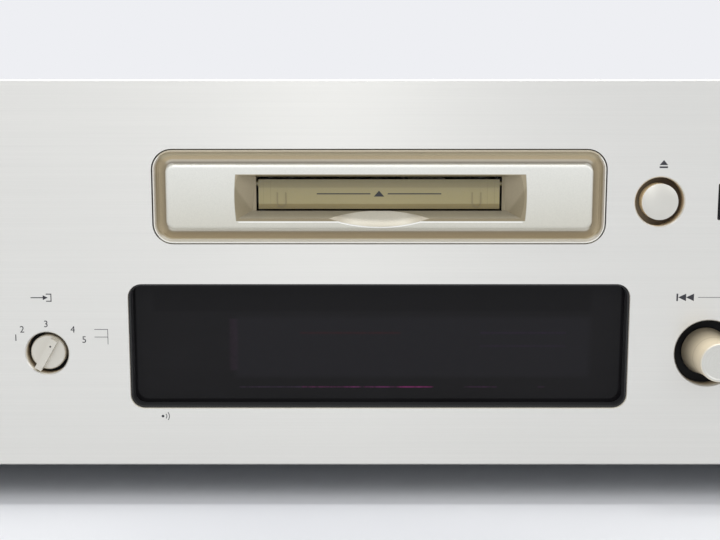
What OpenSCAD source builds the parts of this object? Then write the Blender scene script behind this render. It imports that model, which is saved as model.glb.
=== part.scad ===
// Full-width disc deck whose cartridge slot sits behind a hinged flap.
// Millimetres: X to the right, Y to the rear, Z up from the floor.
// The origin is on the floor under the middle of the whole deck.

/* [Cabinet] */
// Width of the front panel
panel_w = 434; // [362:1:521]
// Height of the front panel
panel_h = 119; // [115:1:143]
// Thickness of the front panel
panel_t = 5; // [4.5:0.1:5.5]
// Bright chamfer round the front panel
panel_chamfer = 0.4; // [0.2:0.1:0.8]
// Depth from the front panel's face to the rear panel's outer face
body_d = 324; // [270:1:389]
// Height of the front panel's lower edge above the floor
foot_h = 13.5; // [11.5:0.5:16.5]
// Thickness of the steel sheets
sheet_t = 1; // [0.8:0.1:1.2]
// How far the cover stands back from the front panel's edges
cover_inset = 1.2; // [0.8:0.1:2]
// Radius of a foot
foot_r = 22; // [18:0.5:26]
// Distance of a foot's axis from the cabinet's side
foot_side = 42; // [35:1:50]

/* [Loader] */
// Width of the moulded loader surround
surround_w = 136.8; // [128:0.2:142]
// Height of the moulded loader surround
surround_h = 28.3; // [27:0.1:30]
// Corner radius of the surround
surround_r = 6; // [4:0.5:7]
// Depth of the surround's centre below the panel's top edge
loader_drop = 35; // [33:0.5:38]
// Margin from the surround's outline to its raised plateau
plateau_margin = 3.9; // [3.4:0.1:4.4]
// Depth of the moat round the plateau
moat_d = 2; // [1.5:0.1:2.6]
// Width of the recess in front of the flap
recess_w = 88.4; // [85:0.2:94]
// Height of the recess in front of the flap
recess_h = 13.3; // [13:0.1:14]
// Width of the opening that the flap closes
opening_w = 74.8; // [74.6:0.2:80]
// Height of the opening that the flap closes
opening_h = 10.4; // [10:0.1:11]
// Gap all round the flap
flap_gap = 0.7; // [0.5:0.05:0.9]
// Thickness of the flap
flap_t = 1.5; // [1.2:0.1:1.8]

/* [Window] */
// Width of the display opening
window_w = 153.8; // [140:0.2:160]
// Height of the display opening
window_h = 39.2; // [36:0.2:42]
// Corner radius of the display opening
window_r = 4.3; // [3:0.1:6]
// Height of the window's centre above the panel's lower edge
window_rise = 37.7; // [35:0.1:40]
// Depth of the smoked window behind the panel's rear face
window_set = 0.2; // [0.1:0.1:1.5]

/* [Controls] */
// Height of the lower row of knobs above the panel's lower edge
knob_rise = 35.7; // [32:0.1:40]
// Depth of the upper row of buttons below the panel's top edge
button_drop = 36.5; // [34:0.1:39]
// Radius of a round button
button_r = 5.5; // [4.6:0.1:6.4]
// Radius of the hole round a round button
button_hole_r = 7.45; // [7:0.05:8]
// Place of the eject button across the panel
eject_x = 84.8; // [80:0.2:90]
// Place of the input dial across the panel
dial_x = -102.2; // [-105:0.2:-98]
// Radius of the input dial
dial_r = 5.4; // [4.5:0.1:6]
// Radius of the hole round the input dial
dial_hole_r = 6.6; // [6.5:0.05:7]
// Place of the jog knob across the panel
jog_x = 101.4; // [99:0.2:104]
// Radius of the jog knob at its foot
jog_r = 7.4; // [6.5:0.1:8.5]
// Radius of the jog knob's end face
jog_face_r = 5.9; // [5:0.1:6.4]
// Radius of the hole round the jog knob
jog_hole_r = 10.3; // [10:0.1:11]
// How far the long knobs stand out of the panel
knob_proud = 13; // [10:0.5:16]
// Left edge of the key bank
keys_x = 102.3; // [100:0.1:104]
// Height of the key bank
keys_h = 11.2; // [10:0.1:12]
// Number of keys in the bank
key_count = 4; // [4:1:4]
// Travel of a key or a round button
key_travel = 0.5; // [0.3:0.05:0.6]
// Travel of the power button
power_travel = 3; // [2:0.1:3.5]
// Bore of the headphone socket
phones_bore_r = 3.2; // [3.18:0.01:3.3]

/* [Mechanism] */
// Width of the cartridge
cart_w = 72; // [72:0.1:73]
// Depth of the cartridge
cart_d = 68; // [68:0.1:69]
// Thickness of the cartridge
cart_t = 5; // [5:0.1:5.2]
// Fall of the cartridge holder onto the turntable
holder_drop = 5.5; // [4.6:0.1:5.8]
// Travel of the cam plates
cam_travel = 11; // [9.2:0.1:13.2]
// Travel of the pickup sled
sled_travel = 16.5; // [13.8:0.1:17]
// Travel of the pull-in carriage
pull_travel = 32; // [26.7:0.1:34]
// Running clearance of pins and shafts
run_gap = 0.1; // [0.05:0.01:0.1]
// Radius of the guide rods
rod_r = 1.5; // [1.25:0.05:1.6]

/* [Hidden] */
$fn = 64;

// Cuts run this far past the faces they open
eps = 0.01;
// Flat faces of pieces that only lie near each other
seat_gap = 0.3;

// Rear jacks stand out this far behind the rear panel
jack_proud = 9;
total_d = knob_proud + body_d + jack_proud;
panel_y = knob_proud - total_d / 2;
rear_y = panel_y + body_d;
z_bot = foot_h;
z_top = foot_h + panel_h;
half_w = panel_w / 2;

// Cabinet
cover_x = half_w - 2;
cover_z = z_top - cover_inset;
pan_z = z_bot + cover_inset;
floor_z = pan_z + sheet_t;
flange_x = cover_x - sheet_t;
flange_h = 18;
frame_t = 2.5;
frame_rim = 10;
back_b = panel_t + frame_t;
screw_r = 1.5;
foot_front = 48;
foot_rear = 40;
pad_t = 2;
foot_ys = [panel_y + foot_front, rear_y - foot_rear];
foot_xs = [-cover_x + foot_side, cover_x - foot_side];
cover_screw_ys = [panel_y + 60, (panel_y + rear_y) / 2, rear_y - 40];
cover_screw_z = floor_z + 10;
rear_screw_xs = [-flange_x + 20, 0, flange_x - 20];
lip_h = 10;

// Loader
loader_z = z_top - loader_drop;
cut_gap = 0.3;
lip_proud = 0.4;
plateau_proud = 0.8;
plateau_w = surround_w - 2 * plateau_margin;
plateau_h = surround_h - 2 * (plateau_margin + 0.4);
plateau_r = 2.7;
plateau_edge = 1.1;
lip_r = 0.35;
lip_w = 0.5;
moat_curve = 1.9;
recess_bow = 28.7;
scoop_r = 69;
scoop_drop = 2.3;
recess_b = 3.6;
opening_z = loader_z + 0.6;
tunnel_end = 14.5;
tunnel_wall = 2.6;
flap_w = opening_w - 2 * flap_gap;
flap_h = opening_h - 2 * flap_gap;
flap_z = opening_z - 0.1;
barrel_r = 1.3;
flap_pin_r = 0.8;
flap_axis_b = recess_b + barrel_r;
flap_axis_z = flap_z + flap_h / 2 - barrel_r;
spring_w = 2.4;
ear_x = opening_w / 2 + tunnel_wall;

// Window
window_z = z_bot + window_rise;
bezel_wall = 0.7;
bezel_flange_w = window_w + 6;
bezel_flange_h = window_h + 3;
window_t = 2;
window_depth = panel_t + window_set;
tube_b = window_depth + window_t + 1.5;

// Controls
knob_z = z_bot + knob_rise;
button_z = z_top - button_drop;
power_x = -half_w + 27;
phones_knob_x = -half_w + 62;
phones_knob_r = 6.6;
phones_hole_r = 8;
level_x = half_w - 50;
level_r = 14.2;
level_inner_r = 9.6;
level_hole_r = 16.4;
keys_right = half_w - 18;
keys_w = keys_right - keys_x;
key_lip = 0.7;
key_pitch = (keys_w - 2 * key_lip) / key_count;
key_gap = 0.8;
stem_r = 2.4;
stem_end = back_b + 2.1;
tact_tip = stem_end + key_travel + 0.1;
board_b = back_b + 7;
board_t = 1.6;
shaft_r = 3;
bush_r = 4.5;
level_shaft_r = 2.4;
level_sleeve_r = 3.6;
level_bush_r = 5.2;
level_proud = 6.5;
dial_depth = 9;
dial_b = 1.5;
jog_depth = 10;
level_depth = 16;
jog_travel = 0.8;
board_right = keys_right + 4;
boss_r = 3;

// Mechanism, measured from the spindle's axis
hold_gap = 0.3;
hold_t = 0.8;
holder_b = tunnel_end + 1;
spin_y = panel_y + holder_b + 2 + cart_d / 2;
cart_z = opening_z - opening_h / 2 + 0.9;
base_z = cart_z - holder_drop - 5;
base_t = 1.2;
holder_in = cart_w / 2 + hold_gap;
holder_out = holder_in + hold_t;
holder_top = cart_z + cart_t + 0.4;
roof_z = holder_top + hold_t;
holder_front = panel_y + holder_b - spin_y;
holder_rear = cart_d / 2 + 6;
cam_x = opening_w / 2 + tunnel_wall + 2;
frame_x = cam_x - 2.5;
pin_r = 1.25;
pin_z = cart_z + cart_t / 2;
pin_ys = [-24, 24];
stud_r = 1.2;
stud_z = base_z + 3.6;
stud_ys = [-10, 14];
strap_y = 32;
cam_low = base_z + 0.35;
cam_high = pin_z + 3.5;
rack_x = cam_x + 7;
gear_m = 1;
gear_n = 16;
wheel_m = 0.6;
wheel_n = 40;
pinion_n = 10;
gear_x = rack_x + 1.25 * gear_m + gear_m * gear_n / 2 + 0.1;
gear_y = 6;
pinion_y = gear_y + wheel_m * (wheel_n + pinion_n) / 2 + 0.1;
gear_low = base_z + 0.3;
rack_h = 1.6;
wheel_low = gear_low + rack_h + 0.9;
wheel_h = 2;
base_x = cam_x + 32;
base_front = -34;
base_rear = 46;
damper_x = base_x - 6;
damper_ys = [-20, 38];
damper_r = 5;
bracket_x = base_x + 2;
bracket_front = -30;
bracket_rear = 48;
bracket_z = base_z - base_t - 4;
lens_x = -14.5;
sled_low = base_z - 10.2;
sled_high = base_z - base_t - 0.5;
rod_z = base_z - base_t - 4.2;
rod_y = 14.5;
screw_y = 23;
screw_shaft_r = 0.9;
screw_z = rod_z - 1.2;
post_x = -cam_x - 11;
post_t = 3;
arm_x = post_x - post_t / 2;
arm_z = roof_z + 6.2;
arm_w = 8;
slot_half = 8;
hook_y = -27;
hook_d = 8;

// Electronics
post_h = 8;
board_z = floor_z + post_h;
ribbon_t = 0.4;
cable_x = frame_x - 7.5;
main_x = cable_x - 80;
main_w = flange_x - 12 - main_x;
main_d = 130;
main_y = rear_y - sheet_t - 8 - main_d;
psu_w = 118;
psu_d = 84;
psu_x = -flange_x + 10;
psu_y = rear_y - sheet_t - 12 - psu_d;
core_w = 66;
core_h = 55;
core_d = 34;
core_x = -flange_x + 62;
core_y = psu_y - 40;
phono_xs = [20, 60, 90];
line_z = floor_z + 30;
line_pitch = 19;
jack_r = 4.15;
jack_bore_r = 1.7;
optical_xs = [-50, -26];
optical_z = line_z;
inlet_x = -flange_x + 36;
inlet_z = floor_z + 34;

// ---- Shared shapes ----

function yb(b) = panel_y + b;

// A box from its two corners
module block(low, high) {
    translate(low) cube(high - low);
}

// Rectangle with round corners, centred
module round_rect(w, h, r) {
    square([w - 2 * r, h], center = true);
    square([w, h - 2 * r], center = true);
    for (sx = [-1, 1], sy = [-1, 1])
        translate([sx * (w / 2 - r), sy * (h / 2 - r)]) circle(r = r);
}

// Slot with round ends between two points
module stadium(a, b, r) {
    run = b - a;
    translate(a) circle(r = r);
    translate(b) circle(r = r);
    // The flats stand a hair inside the arcs, so that each meets its arc at a clear corner
    translate(a) rotate(atan2(run[1], run[0])) translate([0, -r * 0.997]) square([norm(run), r * 1.994]);
}

// Extrudes a front view outline from depth b0 to b1 behind the panel's face
module front_slab(b0, b1) {
    translate([0, yb(b1), 0]) rotate([90, 0, 0]) linear_extrude(b1 - b0) children();
}

// Round bar along Y, from depth b0 to b1 behind the panel's face
module rod_front(x, z, b0, b1, r) {
    translate([x, yb(b0), z]) rotate([-90, 0, 0]) cylinder(r = r, h = b1 - b0);
}

// Tapered round bar along Y, r0 at depth b0 and r1 at depth b1
module cone_front(x, z, b0, b1, r0, r1) {
    translate([x, yb(b0), z]) rotate([-90, 0, 0]) cylinder(r1 = r0, r2 = r1, h = b1 - b0);
}

// Outline of a rounded rectangle as points, anticlockwise from the right
corner_steps = 8;
function corner_arc(x, z, r, from) = [
    for (i = [0 : corner_steps])
        [x + r * cos(from + 90 * i / corner_steps), z + r * sin(from + 90 * i / corner_steps)]
];
function round_outline(w, h, r) = concat(
    corner_arc(w / 2 - r, h / 2 - r, r, 0),
    corner_arc(r - w / 2, h / 2 - r, r, 90),
    corner_arc(r - w / 2, r - h / 2, r, 180),
    corner_arc(w / 2 - r, r - h / 2, r, 270)
);

// Ring of the loader's outline at depth b
function ring(b, w, h, r) = [for (p = round_outline(w, h, r)) [p[0], yb(b), loader_z + p[1]]];

// Skins a stack of rings, given from front to back
module loft(rings) {
    n = len(rings[0]);
    last = len(rings) - 1;
    polyhedron(
        points = [for (r = rings) each r],
        faces = concat(
            [[for (i = [n - 1 : -1 : 0]) i], [for (i = [0 : n - 1]) last * n + i]],
            [for (k = [0 : last - 1], i = [0 : n - 1]) let(j = (i + 1) % n)
                each [
                    [k * n + i, k * n + j, (k + 1) * n + j],
                    [k * n + i, (k + 1) * n + j, (k + 1) * n + i],
                ]]
        )
    );
}

// Round shaft between two points along X
module rod_x(x0, x1, y, z, r) {
    translate([x0, y, z]) rotate([0, 90, 0]) cylinder(r = r, h = x1 - x0);
}

// Pan-head screw pointing along +Z, its head under z = 0
module screw(length, r) {
    difference() {
        union() {
            cylinder(r = r, h = length);
            translate([0, 0, -1.8]) cylinder(r1 = 0.8 * 2 * r, r2 = 2 * r, h = 1.8);
        }
        for (turn = [0, 90])
            rotate(turn) translate([-r, -0.3, -1.9]) cube([2 * r, 0.6, 1]);
    }
}

// Spur gear outline with straight-flanked teeth
module gear_outline(m, n, play) {
    root = m * n / 2 - 1.25 * m;
    tip = m * n / 2 + m;
    circle(r = root);
    for (i = [0 : n - 1])
        rotate(360 * i / n)
            polygon([
                [root - 0.3 * m, -0.98 * m], [m * n / 2, -0.785 * m + play],
                [tip, -0.36 * m + play], [tip, 0.36 * m - play],
                [m * n / 2, 0.785 * m - play], [root - 0.3 * m, 0.98 * m],
            ]);
}

// Moves its children to the spindle's axis on the floor
module at_spindle() {
    translate([0, spin_y, 0]) children();
}

// ---- Front ----

module plate_body() {
    intersection() {
        translate([-half_w, 0, 0]) rotate([90, 0, 90])
            linear_extrude(panel_w)
                polygon([
                    [panel_y + panel_t, z_bot], [panel_y + panel_t, z_top],
                    [panel_y + panel_chamfer, z_top], [panel_y, z_top - panel_chamfer],
                    [panel_y, z_bot + panel_chamfer], [panel_y + panel_chamfer, z_bot],
                ]);
        translate([0, 0, z_bot - 1])
            linear_extrude(panel_h + 2)
                polygon([
                    [-half_w, panel_y + panel_t], [-half_w, panel_y + panel_chamfer],
                    [-half_w + panel_chamfer, panel_y], [half_w - panel_chamfer, panel_y],
                    [half_w, panel_y + panel_chamfer], [half_w, panel_y + panel_t],
                ]);
    }
}

// Round hole through the panel with a small countersink
module panel_hole(x, z, r) {
    rod_front(x, z, -eps, panel_t + eps, r);
    cone_front(x, z, -eps, 0.3, r + 0.3, r);
}

module front_panel() {
    color("gainsboro") difference() {
        plate_body();
        translate([0, 0, loader_z]) front_slab(-1, panel_t + 1)
            round_rect(surround_w + 2 * cut_gap, surround_h + 2 * cut_gap, surround_r + cut_gap);
        translate([0, 0, window_z]) front_slab(-1, panel_t + 1)
            round_rect(window_w, window_h, window_r);
        translate([keys_x + keys_w / 2, 0, button_z]) front_slab(-1, panel_t + 1)
            round_rect(keys_w, keys_h, 0.6);
        panel_hole(eject_x, button_z, button_hole_r);
        panel_hole(power_x, button_z, button_hole_r);
        panel_hole(dial_x, knob_z, dial_hole_r);
        panel_hole(jog_x, knob_z, jog_hole_r);
        panel_hole(level_x, knob_z, level_hole_r);
        panel_hole(phones_knob_x, knob_z, phones_hole_r);
        panel_hole(power_x, knob_z, 5.5);
    }
}

// Bosses that hold the small boards behind the frame
boss_spots = [
    [eject_x - 12, button_z + 9], [eject_x - 12, button_z - 9],
    [board_right - 4, button_z + 9], [board_right - 4, button_z - 9],
    [window_w / 2 - 2, window_z + window_h / 2 + 5], [-window_w / 2 + 2, window_z + window_h / 2 + 5],
];

// Black plate behind the panel: it carries the front boards and seats the cover
module front_frame() {
    rim_x = flange_x - sheet_t - 0.5;
    color("dimgray") difference() {
        union() {
            block([-cover_x, yb(panel_t), pan_z], [cover_x, yb(back_b), cover_z]);
            difference() {
                block(
                    [-rim_x, yb(back_b) - eps, floor_z],
                    [rim_x, yb(back_b + frame_rim), cover_z - sheet_t]
                );
                block(
                    [-rim_x + 2, yb(back_b) - 1, floor_z + 2],
                    [rim_x - 2, yb(back_b + frame_rim) + 1, cover_z - sheet_t - 2]
                );
            }
            for (spot = boss_spots)
                rod_front(spot[0], spot[1], back_b - eps, board_b, boss_r);
        }
        translate([0, 0, loader_z]) front_slab(panel_t - 1, back_b + 1)
            square([surround_w + 6, surround_h + 6], center = true);
        translate([0, 0, window_z]) front_slab(panel_t - 1, back_b + 1)
            square([bezel_flange_w + 2 * seat_gap, bezel_flange_h + 2 * seat_gap], center = true);
        translate([keys_x + keys_w / 2, 0, button_z]) front_slab(panel_t - 1, back_b + 1)
            square([keys_w - 2, keys_h - 2], center = true);
        rod_front(eject_x, button_z, panel_t - 1, back_b + 1, stem_r + run_gap);
        rod_front(power_x, button_z, panel_t - 1, back_b + 1, button_r + run_gap);
        for (x = [dial_x, jog_x, phones_knob_x])
            rod_front(x, knob_z, panel_t - 1, back_b + 1, bush_r + 0.1);
        rod_front(level_x, knob_z, panel_t - 1, back_b + 1, level_bush_r + 0.1);
        rod_front(power_x, knob_z, panel_t - 1, back_b + 1, 5.1);
    }
}

// Angles of the rings round a rounded edge, from the front to the flank
edge_angles = [90, 72, 54, 36, 18, 0];

// Outer shell with a rounded lip
module surround_shell() {
    loft(concat(
        [for (a = edge_angles) let(in = lip_r * (1 - cos(a)))
            ring(
                lip_r * (1 - sin(a)) - lip_proud,
                surround_w - 2 * in, surround_h - 2 * in, surround_r - in
            )],
        [ring(panel_t, surround_w, surround_h, surround_r)]
    ));
}

// Trough between the outer lip and the plateau, with a hollow outer wall
module moat_cut() {
    loft(concat(
        [ring(-2, surround_w - 2 * lip_w, surround_h - 2 * lip_w, surround_r - lip_w)],
        [for (a = edge_angles) let(in = lip_w + moat_curve * (1 - sin(a)))
            ring(
                moat_d - (moat_d + lip_proud) * (1 - cos(a)),
                surround_w - 2 * in, surround_h - 2 * in, surround_r - in
            )]
    ));
}

module plateau() {
    loft(concat(
        [for (a = edge_angles) let(in = plateau_edge * (1 - cos(a)))
            ring(
                plateau_edge * (1 - sin(a)) - plateau_proud,
                plateau_w - 2 * in, plateau_h - 2 * in, plateau_r - in
            )],
        [ring(moat_d + 0.5, plateau_w + 0.4, plateau_h + 0.4, plateau_r + 0.2)]
    ));
}

// Recess that narrows to the opening, its side walls creased from corner to corner
module recess_cut() {
    low = opening_z - opening_h / 2;
    high = opening_z + opening_h / 2;
    hull() {
        translate([0, 0, loader_z]) front_slab(-plateau_proud - 0.6, -plateau_proud - 0.4)
            intersection() {
                round_rect(recess_w, recess_h, 1.2, $fn = 32);
                scale([recess_w / 2 / recess_bow, 1]) circle(r = recess_bow, $fn = 180);
            }
        front_slab(recess_b - 0.1, recess_b)
            polygon([
                [-opening_w / 2, high], [opening_w / 2, high],
                [opening_w / 2 + 1.2, low + 0.2], [-opening_w / 2 - 1.2, low + 0.2],
            ]);
    }
}

// Scoop for a fingertip at the lower edge of the recess
module scoop_cut() {
    translate([0, panel_y - plateau_proud, loader_z - recess_h / 2 - scoop_drop])
        rotate([47, 0, 0]) translate([0, 0, scoop_r])
            rotate([90, 0, 0]) cylinder(r = scoop_r, h = 30, center = true, $fn = 180);
}

module loader_surround() {
    low = opening_z - opening_h / 2;
    color("tan") difference() {
        union() {
            difference() {
                surround_shell();
                moat_cut();
            }
            plateau();
            translate([0, 0, loader_z]) front_slab(panel_t, panel_t + 2)
                square([surround_w + 5, surround_h + 5], center = true);
            translate([0, 0, opening_z]) front_slab(panel_t, tunnel_end)
                square([opening_w + 2 * tunnel_wall, opening_h + 4.4], center = true);
        }
        recess_cut();
        intersection() {
            scoop_cut();
            block([-16, yb(-3), low - 6], [16, yb(recess_b - 0.2), low + 0.2]);
        }
        translate([0, 0, opening_z]) front_slab(1, tunnel_end + 1)
            square([opening_w, opening_h], center = true);
        block(
            [-ear_x - 1, yb(flap_axis_b + 8.2), cart_z + cart_t + 1],
            [ear_x + 1, yb(tunnel_end + 1), low + 20]
        );
        for (side = [-1, 1])
            translate([side * (ear_x + (plateau_w / 2 - ear_x) / 2), 0, loader_z])
                front_slab(1.6, panel_t + 3)
                    square([plateau_w / 2 - ear_x - 6, plateau_h - 4], center = true);
        rod_x(-ear_x - 1, ear_x + 1, yb(flap_axis_b), flap_axis_z, flap_pin_r + run_gap);
        // Pocket for the closing spring
        block(
            [-ear_x - spring_w - 1.3, yb(flap_axis_b - 2.3), flap_axis_z - 2.3],
            [-ear_x, yb(tunnel_end), flap_axis_z + 2.3]
        );
    }
    // Ramp that lifts the cartridge onto the holder's floor
    color("tan") translate([-opening_w / 2 - 0.5, 0, 0]) rotate([90, 0, 90])
        linear_extrude(opening_w + 1)
            polygon([
                [yb(flap_axis_b + 8.2), low - 0.5], [yb(tunnel_end), low - 0.5],
                [yb(tunnel_end), cart_z - 0.2], [yb(flap_axis_b + 9.2), cart_z - 0.2],
                [yb(flap_axis_b + 8.2), low],
            ]);
}

module u_mark() {
    difference() {
        stadium([0, 0], [0, 3], 1.5);
        stadium([0, 0], [0, 4], 1.1);
        translate([-2, 3]) square([4, 3]);
    }
}

module loader_flap() {
    color("darkkhaki") {
        difference() {
            union() {
                translate([0, 0, flap_z]) front_slab(recess_b, recess_b + flap_t)
                    square([flap_w, flap_h], center = true);
                rod_x(-flap_w / 2, flap_w / 2, yb(flap_axis_b), flap_axis_z, barrel_r);
            }
            // Hollowed back behind the lower half
            block(
                [-flap_w / 2 + 2, yb(recess_b + 0.9), flap_z - flap_h / 2 + 1],
                [flap_w / 2 - 2, yb(recess_b + flap_t + 1), flap_z]
            );
        }
        rod_x(-ear_x - spring_w - 0.8, -flap_w / 2 + eps, yb(flap_axis_b), flap_axis_z, flap_pin_r);
        rod_x(flap_w / 2 - eps, ear_x - 0.4, yb(flap_axis_b), flap_axis_z, flap_pin_r);
        for (side = [-1, 1])
            translate([side * (flap_w / 2 - 7), 0, flap_z - 2.5])
                front_slab(recess_b - 0.2, recess_b + eps) u_mark();
    }
}

// Closing spring round the flap's left pin, one leg on the surround
module flap_spring() {
    x0 = -ear_x - spring_w - 0.3;
    color("silver") difference() {
        union() {
            rod_x(x0, x0 + spring_w, yb(flap_axis_b), flap_axis_z, 1.7);
            block(
                [x0, yb(flap_axis_b), flap_axis_z - 1.7],
                [x0 + 0.5, yb(flap_axis_b + 6), flap_axis_z - 1.2]
            );
        }
        rod_x(x0 - 1, x0 + spring_w + 1, yb(flap_axis_b), flap_axis_z, flap_pin_r + run_gap);
    }
}

// Black lining of the display opening with a flange behind the panel
module window_bezel() {
    color("black") translate([0, 0, window_z]) difference() {
        union() {
            front_slab(1, panel_t + 0.5) round_rect(window_w - 0.2, window_h - 0.2, window_r - 0.1);
            front_slab(panel_t, back_b + 1) square([bezel_flange_w, bezel_flange_h], center = true);
        }
        front_slab(0, window_depth)
            round_rect(window_w - 2 * bezel_wall, window_h - 2 * bezel_wall, window_r - 1);
        front_slab(window_depth, back_b + 2) square([window_w + 1, window_h - 1], center = true);
    }
}

module display_window() {
    color([0.1, 0.08, 0.1]) translate([0, 0, window_z])
        front_slab(window_depth, window_depth + window_t)
            square([window_w + 1, window_h - 1], center = true);
}

// Fluorescent display: front glass, spacer, back glass and its pumping tip
module display_tube() {
    tube_w = 118;
    tube_h = 27;
    color("slategray") translate([2, 0, window_z - 1]) {
        front_slab(tube_b, tube_b + 1.8) square([tube_w, tube_h], center = true);
        front_slab(tube_b + 1.8, tube_b + 3.2) square([tube_w - 4, tube_h - 4], center = true);
        front_slab(tube_b + 3.2, board_b) square([tube_w, tube_h + 4], center = true);
        translate([tube_w / 2 - eps, yb(tube_b + 3), 5]) rotate([0, 90, 0]) cylinder(r = 1.2, h = 3);
    }
}

module display_board() {
    w = window_w + 8;
    color("darkgreen") difference() {
        translate([0, 0, window_z + 2]) front_slab(board_b, board_b + board_t)
            square([w, window_h + 18], center = true);
        rod_front(boss_spots[4][0], boss_spots[4][1], board_b - 1, board_b + 3, 1);
        rod_front(boss_spots[5][0], boss_spots[5][1], board_b - 1, board_b + 3, 1);
    }
}

// Infrared receiver behind the left end of the window
module remote_sensor() {
    x = -window_w / 2 + 10;
    z = window_z - window_h / 2 + 7;
    color("black") {
        block([x - 3.5, yb(board_b - 4.5), z - 4], [x + 3.5, yb(board_b), z + 4]);
        translate([x, yb(board_b - 4.5), z]) intersection() {
            sphere(r = 2.2);
            block([-3, -3, -3], [3, 0.1, 3]);
        }
    }
}

// Round button: crowned cap, stem, and a collar that keeps it in
module round_button(x, z, stem_to, collar_r) {
    crown_r = 20;
    intersection() {
        rod_front(x, z, -0.9, 4, button_r);
        translate([x, yb(-0.9) + crown_r, z]) sphere(r = crown_r, $fn = 96);
    }
    rod_front(x, z, 4 - eps, stem_to, stem_r);
    rod_front(x, z, back_b + seat_gap, back_b + seat_gap + 0.8, collar_r);
}

module eject_button() {
    color("beige") round_button(eject_x, button_z, stem_end, stem_r + 1);
}

module key_frame() {
    color("midnightblue") translate([keys_x + keys_w / 2, 0, button_z]) difference() {
        union() {
            front_slab(0.6, panel_t) square([keys_w - 0.4, keys_h - 0.4], center = true);
            front_slab(panel_t - 0.5, back_b) square([keys_w - 2.2, keys_h - 2.2], center = true);
        }
        for (i = [0 : key_count - 1])
            translate([(i - (key_count - 1) / 2) * key_pitch, 0, 0]) {
                front_slab(0, panel_t)
                    square([key_pitch - key_gap + 0.4, keys_h - 2 * key_lip], center = true);
                rod_front(0, 0, panel_t - 1, back_b + 1, stem_r + run_gap);
            }
    }
}

// Key number i of the bank, counted from the left
module bank_key(i) {
    x = keys_x + key_lip + key_pitch * (i + 0.5);
    w = key_pitch - key_gap - 0.2;
    h = keys_h - 2 * key_lip - 0.6;
    color("beige") {
        intersection() {
            translate([x, 0, button_z]) front_slab(-0.9, 4) round_rect(w, h, 0.8);
            translate([x, yb(-0.9) + 60, button_z]) rotate([0, 90, 0])
                cylinder(r = 60, h = 2 * w, center = true, $fn = 180);
        }
        rod_front(x, button_z, 4 - eps, stem_end, stem_r);
        rod_front(x, button_z, back_b + seat_gap, back_b + seat_gap + 0.8, stem_r + 1);
    }
}

module key_play() { bank_key(0); }

module key_pause() { bank_key(1); }

module key_stop() { bank_key(2); }

module key_record() { bank_key(3); }

// Small push switch facing the front, its plunger's tip at tact_tip
module tact(x, z) {
    translate([x, 0, z]) front_slab(tact_tip + 0.8, board_b + eps) square([6, 6], center = true);
    rod_front(x, z, tact_tip, tact_tip + 0.8 + eps, 1.7);
}

module key_board() {
    color("darkgreen") {
        difference() {
            block(
                [eject_x - 17, yb(board_b), button_z - 13],
                [board_right, yb(board_b + board_t), button_z + 13]
            );
            for (i = [0 : 3])
                rod_front(boss_spots[i][0], boss_spots[i][1], board_b - 1, board_b + 3, 1);
        }
        tact(eject_x, button_z);
        for (i = [0 : key_count - 1])
            tact(keys_x + key_lip + key_pitch * (i + 0.5), button_z);
    }
}

// Input dial: shallow disc with a raised grip bar, one end sloped
module input_dial() {
    color("beige") {
        difference() {
            union() {
                rod_front(dial_x, knob_z, dial_b + 0.3, dial_b + 3, dial_r);
                cone_front(dial_x, knob_z, dial_b, dial_b + 0.3 + eps, dial_r - 0.3, dial_r);
                translate([dial_x, 0, knob_z]) rotate([0, 30, 0]) intersection() {
                    front_slab(-0.9, dial_b + 0.1)
                        square([2.2, 2 * dial_r + 0.6], center = true);
                    translate([0, yb(0.6), -dial_r - 0.4]) rotate([0, 90, 0])
                        cylinder(r = 2 * dial_r - 0.2, h = 4, center = true);
                }
            }
            rod_front(dial_x, knob_z, dial_b + 1.2, dial_b + 4, shaft_r + 1);
        }
        control_shaft(dial_x, dial_b + 1.2 - eps, dial_depth, shaft_r, 0.3);
    }
}

// Rotary control behind the frame: threaded bush, hexagon nut and can
module control_body(x, can, depth, bush, bore) {
    difference() {
        union() {
            rod_front(x, knob_z, panel_t - 0.1, back_b + 4, bush);
            rod_front(x, knob_z, back_b, back_b + 2, bush + 2.5, $fn = 6);
            translate([x, 0, knob_z]) front_slab(back_b + 3, back_b + 3 + depth)
                square([can, can], center = true);
        }
        rod_front(x, knob_z, panel_t - 1, back_b + 1.5 + depth, bore + 0.05);
    }
}

// Switch of the input dial, jog encoder, level control and phones control
module rotary_controls() {
    color("gray") {
        control_body(dial_x, 22, dial_depth, bush_r, shaft_r);
        control_body(jog_x, 16, jog_depth, bush_r, shaft_r);
        control_body(level_x, 22, level_depth, level_bush_r, level_sleeve_r);
        control_body(phones_knob_x, 16, jog_depth, bush_r, shaft_r);
    }
}

// Shaft that turns in a control of this depth, from depth b0 behind the panel's face
module control_shaft(x, b0, depth, r, room) {
    rod_front(x, knob_z, b0, back_b + 1.5 + depth - room, r);
}

// Knob with a waisted flank: wider at its foot, dished end face
module long_knob(x, foot_r, face_r, proud, foot_b) {
    translate([x, panel_y, knob_z]) rotate([-90, 0, 0]) rotate_extrude($fn = 96)
        polygon(concat(
            [[0, -proud + 0.25], [face_r - 1, -proud + 0.1], [face_r - 0.8, -proud], [face_r - 0.3, -proud]],
            [for (t = [0 : 0.1 : 1])
                [face_r + (foot_r - face_r) * pow(t, 2.2), -proud + 0.3 + (foot_b + proud - 0.3) * t]],
            [[0, foot_b]]
        ));
}

// The jog knob turns on this shaft, which slides back when the knob is pushed
module jog_shaft() {
    color("silver") control_shaft(jog_x, -6, jog_depth, shaft_r, jog_travel + 0.2);
}

module jog_knob() {
    color("beige") difference() {
        long_knob(jog_x, jog_r, jog_face_r, knob_proud, 3.2);
        rod_front(jog_x, knob_z, -6.1, 5, shaft_r + 0.05);
    }
}

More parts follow.
